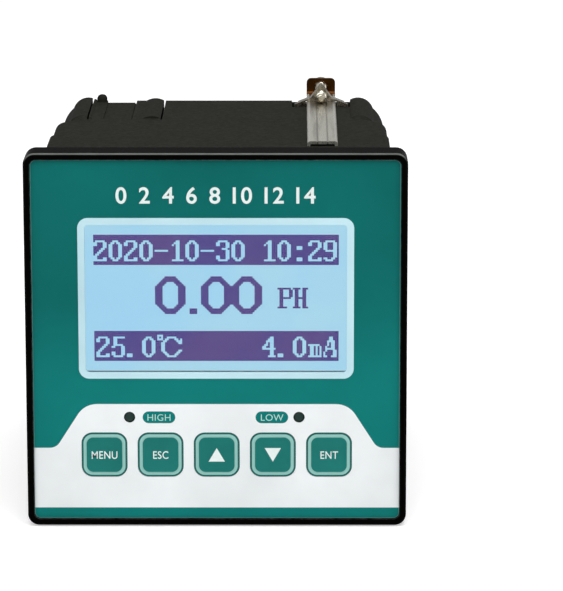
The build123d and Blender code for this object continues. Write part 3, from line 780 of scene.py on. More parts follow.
@dataclass(frozen=True)
class PlatedSteel(Finish):
    """Sheet or turned steel with a plated skin and drawn lines."""

    stain: Colour = (0.20, 0.19, 0.16)
    stain_share: float = 0.3
    line_scale: float = 9000.0
    depth: float = 0.000006
    edge_amount: float = 0.7
    edge_radius: float = 0.00015

    def wire(self, graph: Graph) -> Feeds:
        """Streaks change colour and gloss, and edges are brighter, partly wear and partly painted highlight.
        See Finish.wire.
        """
        lines = DrawnLines.place(graph, Scale=self.line_scale)
        wear_and_highlight = WornEdge.place(graph, Radius=self.edge_radius, Amount=self.edge_amount)
        streak = graph.spread(lines["Streak"], 0.42, 0.72, 0.0, self.stain_share)
        ground = graph.blend(streak, self.colour, self.stain)
        return {
            # edges: wear and painted highlight
            "Base Color": graph.blend(wear_and_highlight["Mask"], ground, RUBBED_AND_HIGHLIGHT_STEEL),
            "Metallic": 1.0,
            "Roughness": self.rough(graph, lines["Height"], 0.06, 0.10),
            "Normal": graph.bump(lines["Height"], 0.5, self.depth),
        }


@dataclass(frozen=True)
class StripSteel(PlatedSteel):
    """The clamp strip's steel, with painted light: painted highlights on the folded sides, painted shade in
    the bead grooves and toward the far end, and a brown painted shade over the tab.
    """

    centre_x: float = 0.028
    flat_half: float = 0.0031
    # painted shade toward the far end: where it begins and ends
    dull_start: float = 0.064
    dull_end: float = 0.084
    bead_place: float = 0.00135
    bead_half: float = 0.00030
    tab_foot: float = 0.0476
    tab_start: float = 0.1014
    soft: float = 0.0003
    groove_share: float = 0.8
    dull_share: float = 0.85
    # how much, and which colour, of painted highlight the folded sides get
    bright_share: float = 0.7
    bright: Colour = (0.86, 0.85, 0.78)
    # colour of the painted shade toward the far end
    dull: Colour = (0.17, 0.14, 0.10)
    # colour of the painted shade in the bead grooves
    groove: Colour = (0.16, 0.15, 0.12)
    # colour of the brown painted shade over the tab
    tab: Colour = (0.085, 0.032, 0.007)

    def wire(self, graph: Graph) -> Feeds:
        """Lays painted shade in the grooves, painted highlights on the folds, and painted shade at the far
        end and over the tab, over the plain plated skin. See Finish.wire.
        """
        feeds = super().wire(graph)
        place = graph.axes(graph.coordinates())
        across = graph.apart(place["X"], self.centre_x)
        from_bead = graph.apart(across, self.bead_place)
        # painted shade: dark lines along the bead grooves
        lines = graph.spread(from_bead, self.bead_half, 0.0, 0.0, self.groove_share)
        # painted shade toward the far end, in front of the anchor
        far = graph.spread(place["Y"], self.dull_start, self.dull_end, 0.0, self.dull_share, smooth=True)
        # painted highlight on the folded sides
        fold = graph.spread(across, self.flat_half, self.flat_half + self.soft)
        colour = graph.blend(lines, feeds["Base Color"], self.groove)
        colour = graph.blend(far, colour, self.dull)
        colour = graph.blend(graph.product(fold, self.bright_share), colour, self.bright)
        # painted shade, tinted brown, over the upturned tab
        above = graph.spread(place["Z"], self.tab_foot, self.tab_foot + self.soft)
        behind = graph.spread(place["Y"], self.tab_start, self.tab_start + self.soft)
        feeds["Base Color"] = graph.blend(graph.maths("MAXIMUM", above, behind), colour, self.tab)
        return feeds


@dataclass(frozen=True)
class Laminate(Finish):
    """A circuit board's lacquered glass laminate, with its woven ground and copper tracks."""

    track: Colour = (0.03, 0.17, 0.07)
    track_scale: float = 130.0
    track_width: float = 0.03
    track_depth: float = 0.00003
    weave_scale: float = 3500.0

    def wire(self, graph: Graph) -> Feeds:
        """Tracks come from a stepped pattern and the weave from fine noise. See Finish.wire."""
        tracks = graph.add("ShaderNodeTexBrick", offset=0.5)
        graph.feed(tracks.inputs["Vector"], graph.coordinates())
        graph.feed(tracks.inputs["Scale"], self.track_scale)
        graph.feed(tracks.inputs["Mortar Size"], self.track_width)
        weave = graph.noise(self.weave_scale, 1.0)
        ground = self.toned(graph, graph.spread(weave, *MOST), 0.85, 1.15)
        return {
            "Base Color": graph.blend(tracks.outputs["Fac"], ground, self.track),
            "Roughness": self.rough(graph, weave, 0.05, 0.08),
            "Normal": graph.bump(tracks.outputs["Fac"], 0.4, self.track_depth),
        }


@dataclass(frozen=True)
class WoundTape(Finish):
    """Varnished tape or lacquer round a coil or core, in fine layers."""

    layers: float = 2600.0
    layer_depth: float = 0.00004
    stretch: Point = (0.02, 0.02, 1.0)

    def wire(self, graph: Graph) -> Feeds:
        """Bands across the height. See Finish.wire."""
        bands = graph.noise(self.layers, 1.0, self.stretch)
        return {
            "Base Color": self.toned(graph, bands, 0.7, 1.25),
            "Roughness": self.rough(graph, bands, 0.08, 0.08),
            "Normal": graph.bump(bands, 0.5, self.layer_depth),
        }


@dataclass(frozen=True)
class FloorPaper(Finish):
    """The floor's pale paper, which glows only for the camera and through glass."""

    glow: float = 0.42
    shine: float = 0.1

    def wire(self, graph: Graph) -> Feeds:
        """Faint fibres in colour and gloss. See Finish.wire."""
        fibre = graph.noise(900.0, 3.0)
        return {
            "Base Color": self.toned(graph, fibre, 0.99, 1.01),
            "Roughness": self.rough(graph, fibre, 0.05, 0.05),
            "Specular IOR Level": self.shine,
            "Emission Color": PLAIN_WHITE,
            "Emission Strength": graph.product(graph.seen_share(), self.glow),
        }


CASE_BLACK = MouldedPlastic("case_black", (0.0175, 0.0180, 0.0145), 0.55, grain=3800.0, depth=0.000007,
                            shine=0.006, edge=(0.075, 0.077, 0.068), edge_amount=0.45, dust=0.04)
# the bezel: a painted highlight along its rounded upper front edge, and pale edges that are partly wear and
# partly painted highlight
RIM_BLACK = MouldedPlastic("rim_black", (0.0014, 0.0014, 0.0012), 0.24, grain=5200.0, depth=0.000003,
                           shine=0.001, edge=(0.12, 0.125, 0.12), edge_amount=0.60, edge_radius=0.0005,
                           dust=0.012, glint=1.0)
COVER_BLACK = MouldedPlastic("cover_black", (0.016, 0.016, 0.015), 0.50, grain=3800.0, depth=0.000008,
                             shine=0.05, edge=(0.08, 0.08, 0.075))
# painted light: the teal film is painted about a third lighter toward the bottom
TEAL_FILM = PrintedFilm("teal_film", (0.0030, 0.131, 0.120), 0.42, shine=0.05, low_tint=1.33)
WHITE_PRINT = PrintedFilm("white_print", (0.79, 0.82, 0.83), 0.45, edge=(0.62, 0.70, 0.70))
BORDER_PRINT = PrintedFilm("border_print", (0.50, 0.715, 0.785), 0.36, edge=(0.55, 0.75, 0.8))
WHITE_INK = Ink("white_ink", (0.74, 0.82, 0.80), 0.5)
PALE_INK = Ink("pale_ink", (0.40, 0.66, 0.60), 0.5)
GREY_INK = Ink("grey_ink", (0.42, 0.42, 0.40), 0.6)
CLEAR_WINDOW = ClearPane("clear_window", (0.97, 0.985, 0.99), 0.02)
LCD_LIGHT = LitPanel("lcd_light", (0.345, 0.645, 0.865), 0.35)
LCD_INK = LitPanel("lcd_ink", (0.066, 0.036, 0.222), 0.4, warm=(0.088, 0.042, 0.212), drift=60.0)
LIGHT_GUIDE = MouldedPlastic("light_guide", (0.72, 0.76, 0.78), 0.4, edge=(0.8, 0.82, 0.84), dust=0.0)
LAMP_DARK = MouldedPlastic("lamp_dark", (0.014, 0.034, 0.028), 0.20, grain=3800.0, depth=0.000003,
                           shine=0.16, edge=(0.03, 0.05, 0.045), edge_amount=0.2, dust=0.0)
CLAMP_STEEL = StripSteel("clamp_steel", (0.80, 0.79, 0.69), 0.30, stain_share=0.55)
ANCHOR_STEEL = PlatedSteel("anchor_steel", (0.40, 0.36, 0.28), 0.24, stain=(0.05, 0.04, 0.03),
                           stain_share=0.95, line_scale=5000.0)
SCREW_STEEL = PlatedSteel("screw_steel", (0.70, 0.66, 0.55), 0.20, stain=(0.45, 0.38, 0.24),
                          line_scale=5200.0)
PLAIN_SCREW = PlatedSteel("plain_screw", (0.56, 0.56, 0.55), 0.32)
TINNED_STEEL = PlatedSteel("tinned_steel", (0.55, 0.56, 0.57), 0.38, stain_share=0.2)
BOARD_GREEN = Laminate("board_green", (0.012, 0.10, 0.042), 0.35)
PART_BLACK = MouldedPlastic("part_black", (0.015, 0.015, 0.016), 0.45, grain=4200.0, edge_amount=0.3)
STEM_BROWN = MouldedPlastic("stem_brown", (0.16, 0.05, 0.03), 0.4, edge=(0.3, 0.14, 0.1), dust=0.0)
CORE_STEEL = WoundTape("core_steel", (0.10, 0.10, 0.11), 0.45)
COIL_TAPE = WoundTape("coil_tape", (0.62, 0.42, 0.06), 0.35, layers=1100.0)
RELAY_BLUE = MouldedPlastic("relay_blue", (0.03, 0.10, 0.32), 0.32, grain=4200.0, edge=(0.12, 0.24, 0.5),
                            dust=0.08)
SLEEVE_BLACK = MouldedPlastic("sleeve_black", (0.02, 0.022, 0.03), 0.25, grain=4200.0,
                              edge=(0.3, 0.3, 0.32))
FUSE_METAL = PlatedSteel("fuse_metal", (0.66, 0.64, 0.58), 0.26)
TERMINAL_GREEN = MouldedPlastic("terminal_green", (0.018, 0.215, 0.062), 0.38, grain=3000.0, shine=0.45,
                                edge=(0.10, 0.40, 0.18), dust=0.05)
FLOOR_PAPER = FloorPaper("floor_paper", (0.86, 0.86, 0.86), 0.90)


# Pieces

def report(piece: Piece, body: str) -> Piece:
    """Logs a finished piece and hands it on.

    Args:
        piece: the piece.
        body: the CAD body that it moves with.

    Returns:
        The same piece.
    """
    log.info("%s on %s", piece.name, body)
    return piece


def dress(node: str, finish: Finish) -> Piece:
    """Gives a CAD node its finish.

    Args:
        node: the CAD node's name.
        finish: what it is made of.

    Returns:
        The node's object.
    """
    piece = frame["nodes"][node]
    for slot in piece.material_slots:
        slot.link = "OBJECT"
        slot.material = finish.material()
    return report(piece, str(piece["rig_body"]))


def add_object(name: str, data: bpy.types.ID) -> Piece:
    """Adds an object to the scene.

    Args:
        name: the object's name.
        data: its mesh, curve, light or camera.

    Returns:
        The object.
    """
    made = bpy.data.objects.new(name, data)
    bpy.context.scene.collection.objects.link(made)
    return made


def mesh_piece(name: str, mesh: Mesh, finish: Finish, body: str) -> Piece:
    """Adds a piece to the object.

    Args:
        name: the piece's name.
        mesh: its mesh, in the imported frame.
        finish: what it is made of.
        body: the CAD body that it moves with.

    Returns:
        The piece.
    """
    mesh.materials.clear()
    mesh.materials.append(finish.material())
    piece = add_object(name, mesh)
    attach(piece, body)
    return report(piece, body)


def mesh_from(name: str, build: Callable[[Work], None]) -> Mesh:
    """Makes a mesh with a function that fills an empty one.

    Args:
        name: the mesh's name.
        build: fills the mesh.

    Returns:
        The mesh, with its normals turned outwards.
    """
    work = bmesh.new()
    build(work)
    bmesh.ops.recalc_face_normals(work, faces=work.faces)
    mesh = bpy.data.meshes.new(name)
    work.to_mesh(mesh)
    work.free()
    return mesh


def evaluated_mesh(source: Piece) -> Mesh:
    """The mesh that a curve, text or modified object shows. The object is removed.

    Args:
        source: the object.

    Returns:
        Its mesh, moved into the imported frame.
    """
    bpy.context.view_layer.update()
    shown = source.evaluated_get(bpy.context.evaluated_depsgraph_get())
    mesh = bpy.data.meshes.new_from_object(shown)
    mesh.transform(source.matrix_world)
    bpy.data.objects.remove(source)
    return mesh


def rectangle(x: float, y: float, half_x: float, half_y: float) -> list[tuple[float, float]]:
    """A rectangle's four corners, in turn.

    Args:
        x: its middle along the first axis.
        y: its middle along the second axis.
        half_x: half its length along the first axis.
        half_y: half its length along the second axis.

    Returns:
        The corners, each along both axes.
    """
    return [(x + a * half_x, y + b * half_y) for a, b in ((-1, -1), (1, -1), (1, 1), (-1, 1))]


def middle(node: str) -> tuple[float, float]:
    """The X and Z of the middle of a CAD node's box."""
    low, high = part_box(node)
    return (low.x + high.x) / 2, (low.z + high.z) / 2


class Side(Enum):
    """Which way print faces, in half turns about Z."""

    FRONT = 0
    REAR = 1


@dataclass(frozen=True)
class Lettering:
    """Words or numbers of thin ink on an upright face."""

    text: str
    height: float
    x: float
    z: float
    y: float
    side: Side = Side.FRONT
    weight: float = 0.0
    squeeze: float = 1.0
    thickness: float = 0.00002
    capital: ClassVar[float] = 0.729
    spacing: ClassVar[float] = 1.06

    def mesh(self) -> Mesh:
        """The letters' mesh, centred on the place given."""
        curve = bpy.data.curves.new("lettering", "FONT")
        curve.body = self.text
        curve.size = self.height / self.capital
        curve.align_x = "CENTER"
        curve.extrude = self.thickness / 2
        curve.offset = self.weight * self.height
        curve.space_character = self.spacing
        source = add_object("lettering", curve)
        turn = Matrix.Rotation(math.pi * self.side.value, 4, "Z")
        stand = Matrix.Rotation(math.pi / 2, 4, "X")
        narrow = Matrix.Diagonal((self.squeeze, 1.0, 1.0, 1.0))
        lower = Matrix.Translation((0.0, -self.height / 2, 0.0))
        source.matrix_world = Matrix.Translation((self.x, self.y, self.z)) @ turn @ stand @ narrow @ lower
        return evaluated_mesh(source)


class SubAssembly:
    """A group of pieces that is built and dressed together."""

    finishes: ClassVar[dict[str, Finish]] = {}

    def build(self) -> None:
        """Adds the group's own meshes, where it has any."""

    def dress(self) -> None:
        """Gives the group's CAD nodes their finishes."""
        for node, finish in self.finishes.items():
            dress(node, finish)


@dataclass
class FrontFace(SubAssembly):
    """The printed film, its number scale and the words beside the lamps."""

    scale_numbers: tuple[int, ...] = (0, 2, 4, 6, 8, 10, 12, 14)
    scale_height: float = 4.4 * MM
    scale_z: float = 38.9 * MM
    scale_width: float = 52.0 * MM
    scale_weight: float = 0.022
    label_height: float = 1.85 * MM
    label_places: tuple[tuple[str, float], ...] = (("HIGH", -15.15 * MM), ("LOW", 14.55 * MM))
    label_z: float = -20.7 * MM

    finishes: ClassVar[dict[str, Finish]] = {
        "front_film": TEAL_FILM, "film_white_field": WHITE_PRINT, "window_border": BORDER_PRINT,
        "display_window": CLEAR_WINDOW,
    }

    def build(self) -> None:
        """Prints the numbers and the labels on the film's front."""
        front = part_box("front_film")[0].y
        place = (0.0, self.scale_z, front)
        meshes = [Lettering(str(number), self.scale_height, *place, weight=self.scale_weight).mesh()
                  for number in self.scale_numbers]
        spans = [(min(v.co.x for v in mesh.vertices), max(v.co.x for v in mesh.vertices)) for mesh in meshes]
        gap = (self.scale_width - sum(high - low for low, high in spans)) / (len(meshes) - 1)
        x = -self.scale_width / 2
        for number, mesh, (low, high) in zip(self.scale_numbers, meshes, spans):
            mesh.transform(Matrix.Translation((x - low, 0.0, 0.0)))
            mesh_piece(f"scale_number_{number}", mesh, WHITE_INK, Body.METER.value)
            x += high - low + gap
        for text, x in self.label_places:
            letters = Lettering(text, self.label_height, x, self.label_z, front)
            mesh_piece(f"label_{text.lower()}", letters.mesh(), PALE_INK, Body.METER.value)


@dataclass
class DotMatrix(SubAssembly):
    """The display's dots: two dark bars with pale characters, the large reading and its unit."""

    columns: int = 128
    pitch_x: float = 0.5016 * MM
    pitch_z: float = 0.506 * MM
    top_z: float = 27.75 * MM
    dot_fill: float = 0.985
    ahead: float = 0.03 * MM
    bar_rows: int = 16
    bar_starts: tuple[int, int] = (0, 51)
    text_drop: int = 3
    cell: int = 8
    clock_line: str = "2020-10-30 10:29"
    left_line: str = "25.0"
    right_line: str = "4.0mA"
    unit: str = "PH"
    unit_place: Dot = (96, 28)
    zero_columns: tuple[int, ...] = (32, 56, 72)
    zero_row: int = 22
    zero_size: Dot = (16, 20)
    zero_cut: int = 5
    hole_cut: int = 2
    zero_stroke: Dot = (4, 3)
    point_place: Dot = (50, 39)

    finishes: ClassVar[dict[str, Finish]] = {
        "lcd_glass": LCD_LIGHT, "lcd_backlight": LIGHT_GUIDE, "lcd_metal_frame": TINNED_STEEL,
        "lcd_board": BOARD_GREEN, "display_header": PART_BLACK,
    }

    glyphs: ClassVar[dict[str, str]] = {
        "0": "..###.. .##.##. ##...## ##...## ##...## ##...## ##...## ##...## ##...## .##.##. ..###..",
        "1": "...##.. ..###.. .#.##.. ...##.. ...##.. ...##.. ...##.. ...##.. ...##.. ...##.. .######",
        "2": ".#####. ##...## ##...## .....## ....##. ...##.. ..##... .##.... ##..... ##...## #######",
        "3": ".#####. ##...## ##...## .....## ...###. .....## .....## .....## ##...## ##...## .#####.",
        "4": "....##. ...###. ..####. ..#.##. .##.##. ##..##. ####### ....##. ....##. ....##. ...####",
        "5": ".###### .##.... .##.... .##.... .#####. ##...## .....## .....## ##...## ##...## .#####.",
        "9": ".#####. ##...## ##...## ##...## ##...## .###### .....## .....## .....## ##..##. .####..",
        "-": "....... ....... ....... ....... ....... ####### ....... ....... ....... ....... .......",
        ":": "....... ....... ....... ..###.. ..###.. ....... ....... ....... ....... ..###.. ..###..",
        ".": "....... ....... ....... ....... ....... ....... ....... ....... ....... ###.... ###....",
        "m": "....... ....... ....... ....... ######. .##.#.# .##.#.# .##.#.# .##.#.# .##.#.# #######",
        "A": "...##.. ...##.. ..####. ..#.##. ..#.##. .#..##. .#####. .#...## #....## #....## ##..###",
        "P": "#######. .##...## .##...## .##...## .##...## .######. "
             ".##..... .##..... .##..... .##..... #####...",
        "H": "####.### .##..##. .##..##. .##..##. .##..##. .######. "
             ".##..##. .##..##. .##..##. .##..##. ####.###",
        "C": "...#####... ..##...##.# .##.....### ##.......## ##......... ##......... "
             "##......... ##.......## .##.....##. ..##...##.. ...#####...",
        "degree": "### #.# ###",
    }

    def glyph(self, name: str, column: int, row: int) -> set[Dot]:
        """The dots of one character.

        Args:
            name: the character.
            column: its left column.
            row: its top row.

        Returns:
            The dots, as column and row.
        """
        rows = self.glyphs[name].split()
        return {(column + c, row + r)
                for r, line in enumerate(rows) for c, mark in enumerate(line) if mark == "#"}

    def block(self, column: int, row: int, columns: int, rows: int) -> set[Dot]:
        """The dots of a filled rectangle.

        Args:
            column: its left column.
            row: its top row.
            columns: how many columns it covers.
            rows: how many rows it covers.

        Returns:
            The dots, as column and row.
        """
        return {(column + c, row + r) for c in range(columns) for r in range(rows)}

    def line(self, text: str, column: int, row: int) -> set[Dot]:
        """The dots of a line of characters, one to a cell.

        Args:
            text: the line.
            column: its left column.
            row: its top row.

        Returns:
            The dots, as column and row.
        """
        dots: set[Dot] = set()
        for i, character in enumerate(text):
            if character != " ":
                dots |= self.glyph(character, column + i * self.cell, row)
        return dots

    def zero(self, column: int) -> set[Dot]:
        """The dots of one large zero: an octagon with an octagonal hole.

        Args:
            column: its left column.

        Returns:
            The dots, as column and row.
        """
        width, height = self.zero_size
        wide, tall = self.zero_stroke

        def within(c: int, r: int, inset_c: int, inset_r: int, cut: int) -> bool:
            """Whether a dot lies in the octagon that is inset by so much."""
            from_side = min(c, width - 1 - c) - inset_c
            from_end = min(r, height - 1 - r) - inset_r
            return from_side >= 0 and from_end >= 0 and from_side + from_end >= cut

        return {(column + c, self.zero_row + r) for c, r in self.block(0, 0, width, height)
                if within(c, r, 0, 0, self.zero_cut) and not within(c, r, wide, tall, self.hole_cut)}

    def dark_dots(self) -> set[Dot]:
        """Every dark dot of the picture."""
        top, bottom = self.bar_starts
        dark = self.block(0, top, self.columns, self.bar_rows)
        dark |= self.block(0, bottom, self.columns, self.bar_rows)
        text_row = bottom + self.text_drop
        pale = self.line(self.clock_line, 0, top + self.text_drop)
        pale |= self.line(self.left_line, 1, text_row)
        degree = len(self.left_line) * self.cell
        pale |= self.glyph("degree", degree + 1, text_row - 1) | self.glyph("C", degree + 3, text_row)
        pale |= self.line(self.right_line, self.columns - len(self.right_line) * self.cell, text_row)
        dark -= pale
        for column in self.zero_columns:
            dark |= self.zero(column)
        dark |= self.block(*self.point_place, *self.zero_stroke)
        return dark | self.line(self.unit, *self.unit_place)

    def build(self) -> None:
        """Lays the dark dots just in front of the glass."""
        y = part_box("lcd_glass")[0].y - self.ahead
        left = -self.columns * self.pitch_x / 2
        half_x = self.pitch_x * self.dot_fill / 2
        half_z = self.pitch_z * self.dot_fill / 2

        def fill(work: Work) -> None:
            """One square for each dark dot."""
            for c, r in sorted(self.dark_dots()):
                x = left + (c + 0.5) * self.pitch_x
                z = self.top_z - (r + 0.5) * self.pitch_z
                corners = rectangle(x, z, half_x, half_z)
                work.faces.new([work.verts.new((a, y, b)) for a, b in corners])

        mesh_piece("display_dots", mesh_from("display_dots", fill), LCD_INK, Body.METER.value)


@dataclass
class Keypad(SubAssembly):
    """The five printed keys with their legends, and the switches behind them."""

    legend_height: float = 2.15 * MM
    legend_squeeze: float = 0.84
    legend_weight: float = 0.006
    arrow_width: float = 4.3 * MM
    arrow_height: float = 3.7 * MM
    ink_depth: float = 0.02 * MM
    pad_colour: Colour = (0.0105, 0.162, 0.142)
    pad_roughness: float = 0.42

    def arrow(self, key: Key, x: float, z: float, y: float) -> Mesh:
        """A solid arrow head.

        Args:
            key: the up or the down key.
            x: the key's centre.
            z: the key's centre.
            y: the pad's front.

        Returns:
            The arrow's mesh.
        """
        half = self.arrow_width / 2
        tip = self.arrow_height / 2 * (1.0 if key is Key.UP else -1.0)
        corners = [(-half, -tip), (half, -tip), (0.0, tip)]

        def fill(work: Work) -> None:
            """A three-sided plate."""
            face = work.faces.new([work.verts.new((x + a, y - self.ink_depth, z + b)) for a, b in corners])
            grown = bmesh.ops.extrude_face_region(work, geom=[face])["geom"]
            bmesh.ops.translate(work, vec=(0.0, self.ink_depth, 0.0),
                                verts=[v for v in grown if isinstance(v, bmesh.types.BMVert)])

        return mesh_from(f"arrow_{key.value[0]}", fill)

    def build(self) -> None:
        """Prints a legend on each key."""
        for key in Key:
            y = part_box(key.node)[0].y
            x, z = middle(key.node)
            if key.legend:
                mesh = Lettering(key.legend, self.legend_height, x, z, y, weight=self.legend_weight,
                                 squeeze=self.legend_squeeze).mesh()
            else:
                mesh = self.arrow(key, x, z, y)
            mesh_piece(f"legend_{key.value[0]}", mesh, WHITE_INK, key.body)

    def dress(self) -> None:
        """Finishes keys, switches and stems."""
        for key in Key:
            x, z = middle(key.node)
            name = f"key_face_{key.value[0]}"
            dress(key.node, KeyFace(name, self.pad_colour, self.pad_roughness, centre_x=x, centre_z=z))
            dress(f"switch_{key.value[0]}", PART_BLACK)
            dress(f"switch_stem_{key.value[0]}", STEM_BROWN)


@dataclass
class Housing(SubAssembly):
    """Bezel, case, rear cover, the bezel's screws and the two indicator lamps."""

    finishes: ClassVar[dict[str, Finish]] = {
        "front_bezel": RIM_BLACK, "case": CASE_BLACK, "rear_cover": COVER_BLACK,
        "bezel_screws": PLAIN_SCREW, "lamp_high": LAMP_DARK, "lamp_low": LAMP_DARK,
    }


@dataclass
class Terminals(SubAssembly):
    """The two rows of screw terminals and the pole numbers on the rear cover."""

    poles: int = 10
    pitch: float = 5.08 * MM
    number_height: float = 1.7 * MM
    number_gap: float = 2.0 * MM

    finishes: ClassVar[dict[str, Finish]] = {
        "terminal_block_upper": TERMINAL_GREEN, "terminal_screws_upper": PLAIN_SCREW,
        "terminal_block_lower": TERMINAL_GREEN, "terminal_screws_lower": PLAIN_SCREW,
    }

    def build(self) -> None:
        """Prints a number beside each pole."""
        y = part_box("rear_cover")[1].y
        for row, (block, outward) in enumerate((("terminal_block_upper", 1), ("terminal_block_lower", -1))):
            low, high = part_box(block)
            z = (high.z if outward > 0 else low.z) + outward * self.number_gap
            for i in range(self.poles):
                x = ((self.poles - 1) / 2 - i) * self.pitch
                number = row * self.poles + i + 1
                letters = Lettering(str(number), self.number_height, x, z, y, Side.REAR)
                mesh_piece(f"pole_number_{number}", letters.mesh(), GREY_INK, Body.METER.value)


@dataclass
class Clamp(SubAssembly):
    """The strip, its anchor and the threaded screw that stands for the plain CAD one."""

    radius: float = 1.5 * MM
    root: float = 1.23 * MM
    thread_pitch: float = 0.5 * MM
    tip_length: float = 0.9 * MM
    tip_radius: float = 0.75 * MM
    head_radius: float = 2.75 * MM
    head_height: float = 2.0 * MM
    recess_width: float = 0.9 * MM
    recess_length: float = 3.4 * MM
    recess_depth: float = 1.2 * MM
    recess_over: float = 0.3 * MM
    recess_taper: float = 0.72
    crest: float = 1.15
    crown: tuple[tuple[float, float], ...] = (
        (0.98, 0.0), (1.0, 0.12), (1.0, 0.5), (0.94, 0.76), (0.80, 0.92), (0.55, 1.0))
    around: int = 40
    per_turn: int = 6

    finishes: ClassVar[dict[str, Finish]] = {"clamp_strip": CLAMP_STEEL, "clamp_anchor": ANCHOR_STEEL}

    def angles(self) -> list[float]:
        """The angles of the points round the screw, in radians."""
        return [2 * math.pi * a / self.around for a in range(self.around)]

    def shank_radius(self, angle: float, along: float) -> float:
        """The thread's radius at a place on the shank.

        Args:
            angle: the angle about the axis, in radians.
            along: the distance from the tip.

        Returns:
            The radius there.
        """
        phase = (along / self.thread_pitch - angle / (2 * math.pi)) % 1.0
        ridge = 1.0 - abs(2.0 * phase - 1.0)
        radius = self.root + (self.radius - self.root) * min(1.0, self.crest * ridge)
        if along < self.tip_length:
            share = 1.0 - along / self.tip_length
            dome = self.tip_radius + (self.root - self.tip_radius) * math.sqrt(max(0.0, 1.0 - share * share))
            radius = min(radius, dome)
        return radius

    def rings(self) -> list[list[tuple[float, float]]]:
        """Radius and distance along the shank and head, ring by ring, for each angle."""
        low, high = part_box("clamp_screw")
        shank = high.y - low.y - self.head_height
        count = round(shank / self.thread_pitch * self.per_turn)
        rings = []
        for i in range(count + 1):
            along = shank * i / count
            rings.append([(self.shank_radius(angle, along), along) for angle in self.angles()])
        for width, height in self.crown:
            rings.append([(width * self.head_radius, shank + height * self.head_height)] * self.around)
        return rings

    def screw_mesh(self) -> Mesh:
        """The whole screw: threaded shank, domed tip and pan head with a cross recess."""
        low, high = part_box("clamp_screw")
        x, z = middle("clamp_screw")

        def fill(work: Work) -> None:
            """Rings of vertices joined by quads, closed at both ends."""
            rows = []
            for ring in self.rings():
                row = []
                for angle, (radius, along) in zip(self.angles(), ring):
                    across, up = radius * math.cos(angle), radius * math.sin(angle)
                    row.append(work.verts.new((x + across, low.y + along, z + up)))
                rows.append(row)
            for near, far in zip(rows, rows[1:]):
                for a in range(self.around):
                    b = (a + 1) % self.around
                    work.faces.new((near[a], near[b], far[b], far[a]))
            work.faces.new(rows[0])
            work.faces.new(rows[-1])

        body = add_object("screw_body", mesh_from("screw_body", fill))
        cutter = add_object("recess", mesh_from("recess", self.recess(x, high.y, z)))
        cut = body.modifiers.new("recess", "BOOLEAN")
        cut.operation = "DIFFERENCE"
        cut.object = cutter
        mesh = evaluated_mesh(body)
        bpy.data.objects.remove(cutter)
        return mesh

    def recess(self, x: float, y: float, z: float) -> Callable[[Work], None]:
        """The tool that cuts the cross recess.

        Args:
            x: the screw's axis.
            y: the head's top.
            z: the screw's axis.

        Returns:
            A function that fills a mesh with the cutter.
        """
        a, b = self.recess_width / 2, self.recess_length / 2
        outline = [(a, a), (b, a), (b, -a), (a, -a), (a, -b), (-a, -b),
                   (-a, -a), (-b, -a), (-b, a), (-a, a), (-a, b), (a, b)]

        def fill(work: Work) -> None:
            """A tapering cross: full size at the head's top, smaller at its floor."""
            small = self.recess_taper
            upper, lower = y + self.recess_over, y - self.recess_depth
            top = [work.verts.new((x + p, upper, z + q)) for p, q in outline]
            floor = [work.verts.new((x + small * p, lower, z + small * q)) for p, q in outline]
            work.faces.new(top)
            work.faces.new(floor)
            for i in range(len(outline)):
                j = (i + 1) % len(outline)
                work.faces.new((top[i], top[j], floor[j], floor[i]))

        return fill

    def build(self) -> None:
        """Makes the threaded screw."""
        mesh = self.screw_mesh()
        screw = mesh_piece("threaded_clamp_screw", mesh, SCREW_STEEL, Body.CLAMP_TURN.value)
        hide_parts("clamp_screw")


@dataclass
class Electronics(SubAssembly):
    """Boards and parts inside the case, seen only through the vents."""

    finishes: ClassVar[dict[str, Finish]] = {
        "front_board": BOARD_GREEN, "signal_board": BOARD_GREEN, "power_board": BOARD_GREEN,
        "board_screws": PLAIN_SCREW, "signal_header": PART_BLACK, "power_header": PART_BLACK,
        "input_shield": TINNED_STEEL, "processor_chip": PART_BLACK, "isolated_supply": PART_BLACK,
        "optocouplers": PART_BLACK, "transformer_core": CORE_STEEL, "transformer_coil": COIL_TAPE,
        "relay_high": RELAY_BLUE, "relay_low": RELAY_BLUE, "capacitors": SLEEVE_BLACK, "fuse": FUSE_METAL,
    }


# Studio

@dataclass(frozen=True)
class SoftLamp:
    """A soft square lamp: its side is a length and its power is in watts."""

    name: str
    place: Point
    side: float
    power: float

    def build(self, aim: Point) -> None:
        """Hangs the lamp.

        Args:
            aim: the point that it faces.
        """
        data = bpy.data.lights.new(self.name, "AREA")
        data.shape = "SQUARE"
        data.size = self.side
        data.energy = self.power
        lamp = add_object(self.name, data)
        lamp.location = self.place
        lamp.rotation_euler = (Vector(aim) - Vector(self.place)).to_track_quat("-Z", "Y").to_euler()


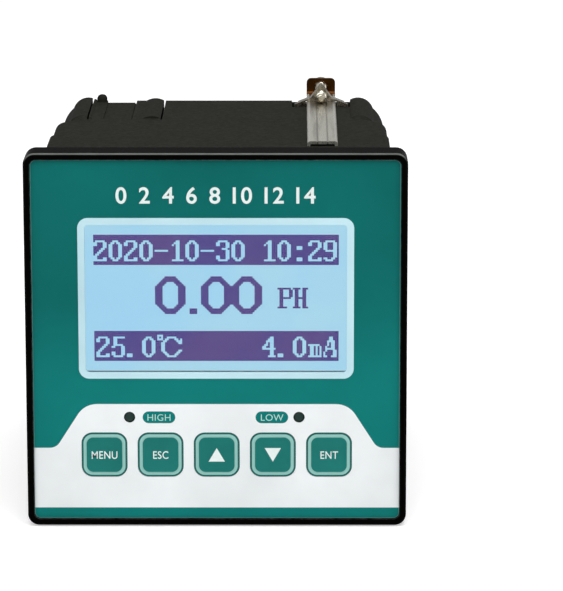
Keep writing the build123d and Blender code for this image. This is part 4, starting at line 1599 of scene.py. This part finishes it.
@dataclass
class Studio:
    """Floor, world, lamps and camera. Nothing here belongs to the object."""

    floor_size: float = 8.0
    world_light: float = 0.50
    world_gloss: float = 0.45
    lamps: tuple[SoftLamp, ...] = (
        SoftLamp("front_lamp", (-0.55, -1.5, 0.95), 1.2, 7.8),
        SoftLamp("top_lamp", (0.12, -0.50, 1.30), 0.8, 10.0),
        SoftLamp("side_lamp", (1.3, -0.5, 0.5), 0.9, 3.2),
    )
    lamp_aim: Point = (0.0, 0.045, 0.0)
    camera_place: Point = (0.02134, -0.95894, 0.22391)
    camera_right: Point = (0.99999, 0.004275, -0.000756)
    camera_up: Point = (-0.000192, 0.217425, 0.976077)
    camera_forward: Point = (-0.004337, 0.976068, -0.217424)
    lens: float = 227.1
    sensor: float = 36.0
    nearest: float = 0.05
    farthest: float = 50.0

    def world(self) -> None:
        """A plain white surround that lights at a moderate level and shines dimmer in gloss."""
        world = bpy.data.worlds.new("studio")
        world.use_nodes = True
        graph = Graph(world.node_tree)
        back = world.node_tree.nodes["Background"].inputs
        graph.feed(back["Color"], PLAIN_WHITE)
        glossy = graph.add("ShaderNodeLightPath").outputs["Is Glossy Ray"]
        unseen = graph.spread(glossy, *WHOLE, self.world_light, self.world_gloss)
        graph.feed(back["Strength"], graph.spread(graph.seen_share(), *WHOLE, unseen, 1.0))
        bpy.context.scene.world = world

    def floor(self) -> None:
        """A pale floor that touches the bezel's lower edge and the case's rear pillars."""
        bezel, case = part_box("front_bezel"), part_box("case")
        front_y, front_z = bezel[1].y, bezel[0].z
        rise = math.atan2(case[0].z - front_z, case[1].y - front_y)
        half = self.floor_size / 2

        def fill(work: Work) -> None:
            """One flat square."""
            work.faces.new([work.verts.new((x, y, 0.0)) for x, y in rectangle(0.0, 0.0, half, half)])

        mesh = mesh_from("floor", fill)
        mesh.materials.append(FLOOR_PAPER.material())
        floor = add_object("floor", mesh)
        floor.matrix_world = Matrix.Translation((0.0, front_y, front_z)) @ Matrix.Rotation(rise, 4, "X")

    def camera(self) -> None:
        """The camera that was fitted to the photograph."""
        data = bpy.data.cameras.new("camera")
        data.sensor_width = self.sensor
        data.lens = self.lens
        data.clip_start = self.nearest
        data.clip_end = self.farthest
        camera = add_object("camera", data)
        back = -Vector(self.camera_forward)
        turn = Matrix((self.camera_right, self.camera_up, back)).transposed().to_4x4()
        camera.matrix_world = Matrix.Translation(self.camera_place) @ turn
        bpy.context.scene.camera = camera

    def build(self) -> None:
        """Sets up the whole studio."""
        bpy.context.scene.view_settings.view_transform = "Standard"
        self.world()
        self.floor()
        for lamp in self.lamps:
            lamp.build(self.lamp_aim)
        self.camera()


def main(parts: Iterable[SubAssembly]) -> None:
    """Builds the studio, then builds and dresses the meter, part by part.

    Args:
        parts: the sub-assemblies, in order.
    """
    logging.basicConfig(level=logging.INFO, format="%(message)s")
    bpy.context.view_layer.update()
    Studio().build()
    for part in parts:
        log.info("Sub-assembly: %s", type(part).__name__)
        part.build()
        part.dress()


if __name__ == "__main__":
    main((Housing(), FrontFace(), DotMatrix(), Keypad(), Terminals(), Clamp(), Electronics()))
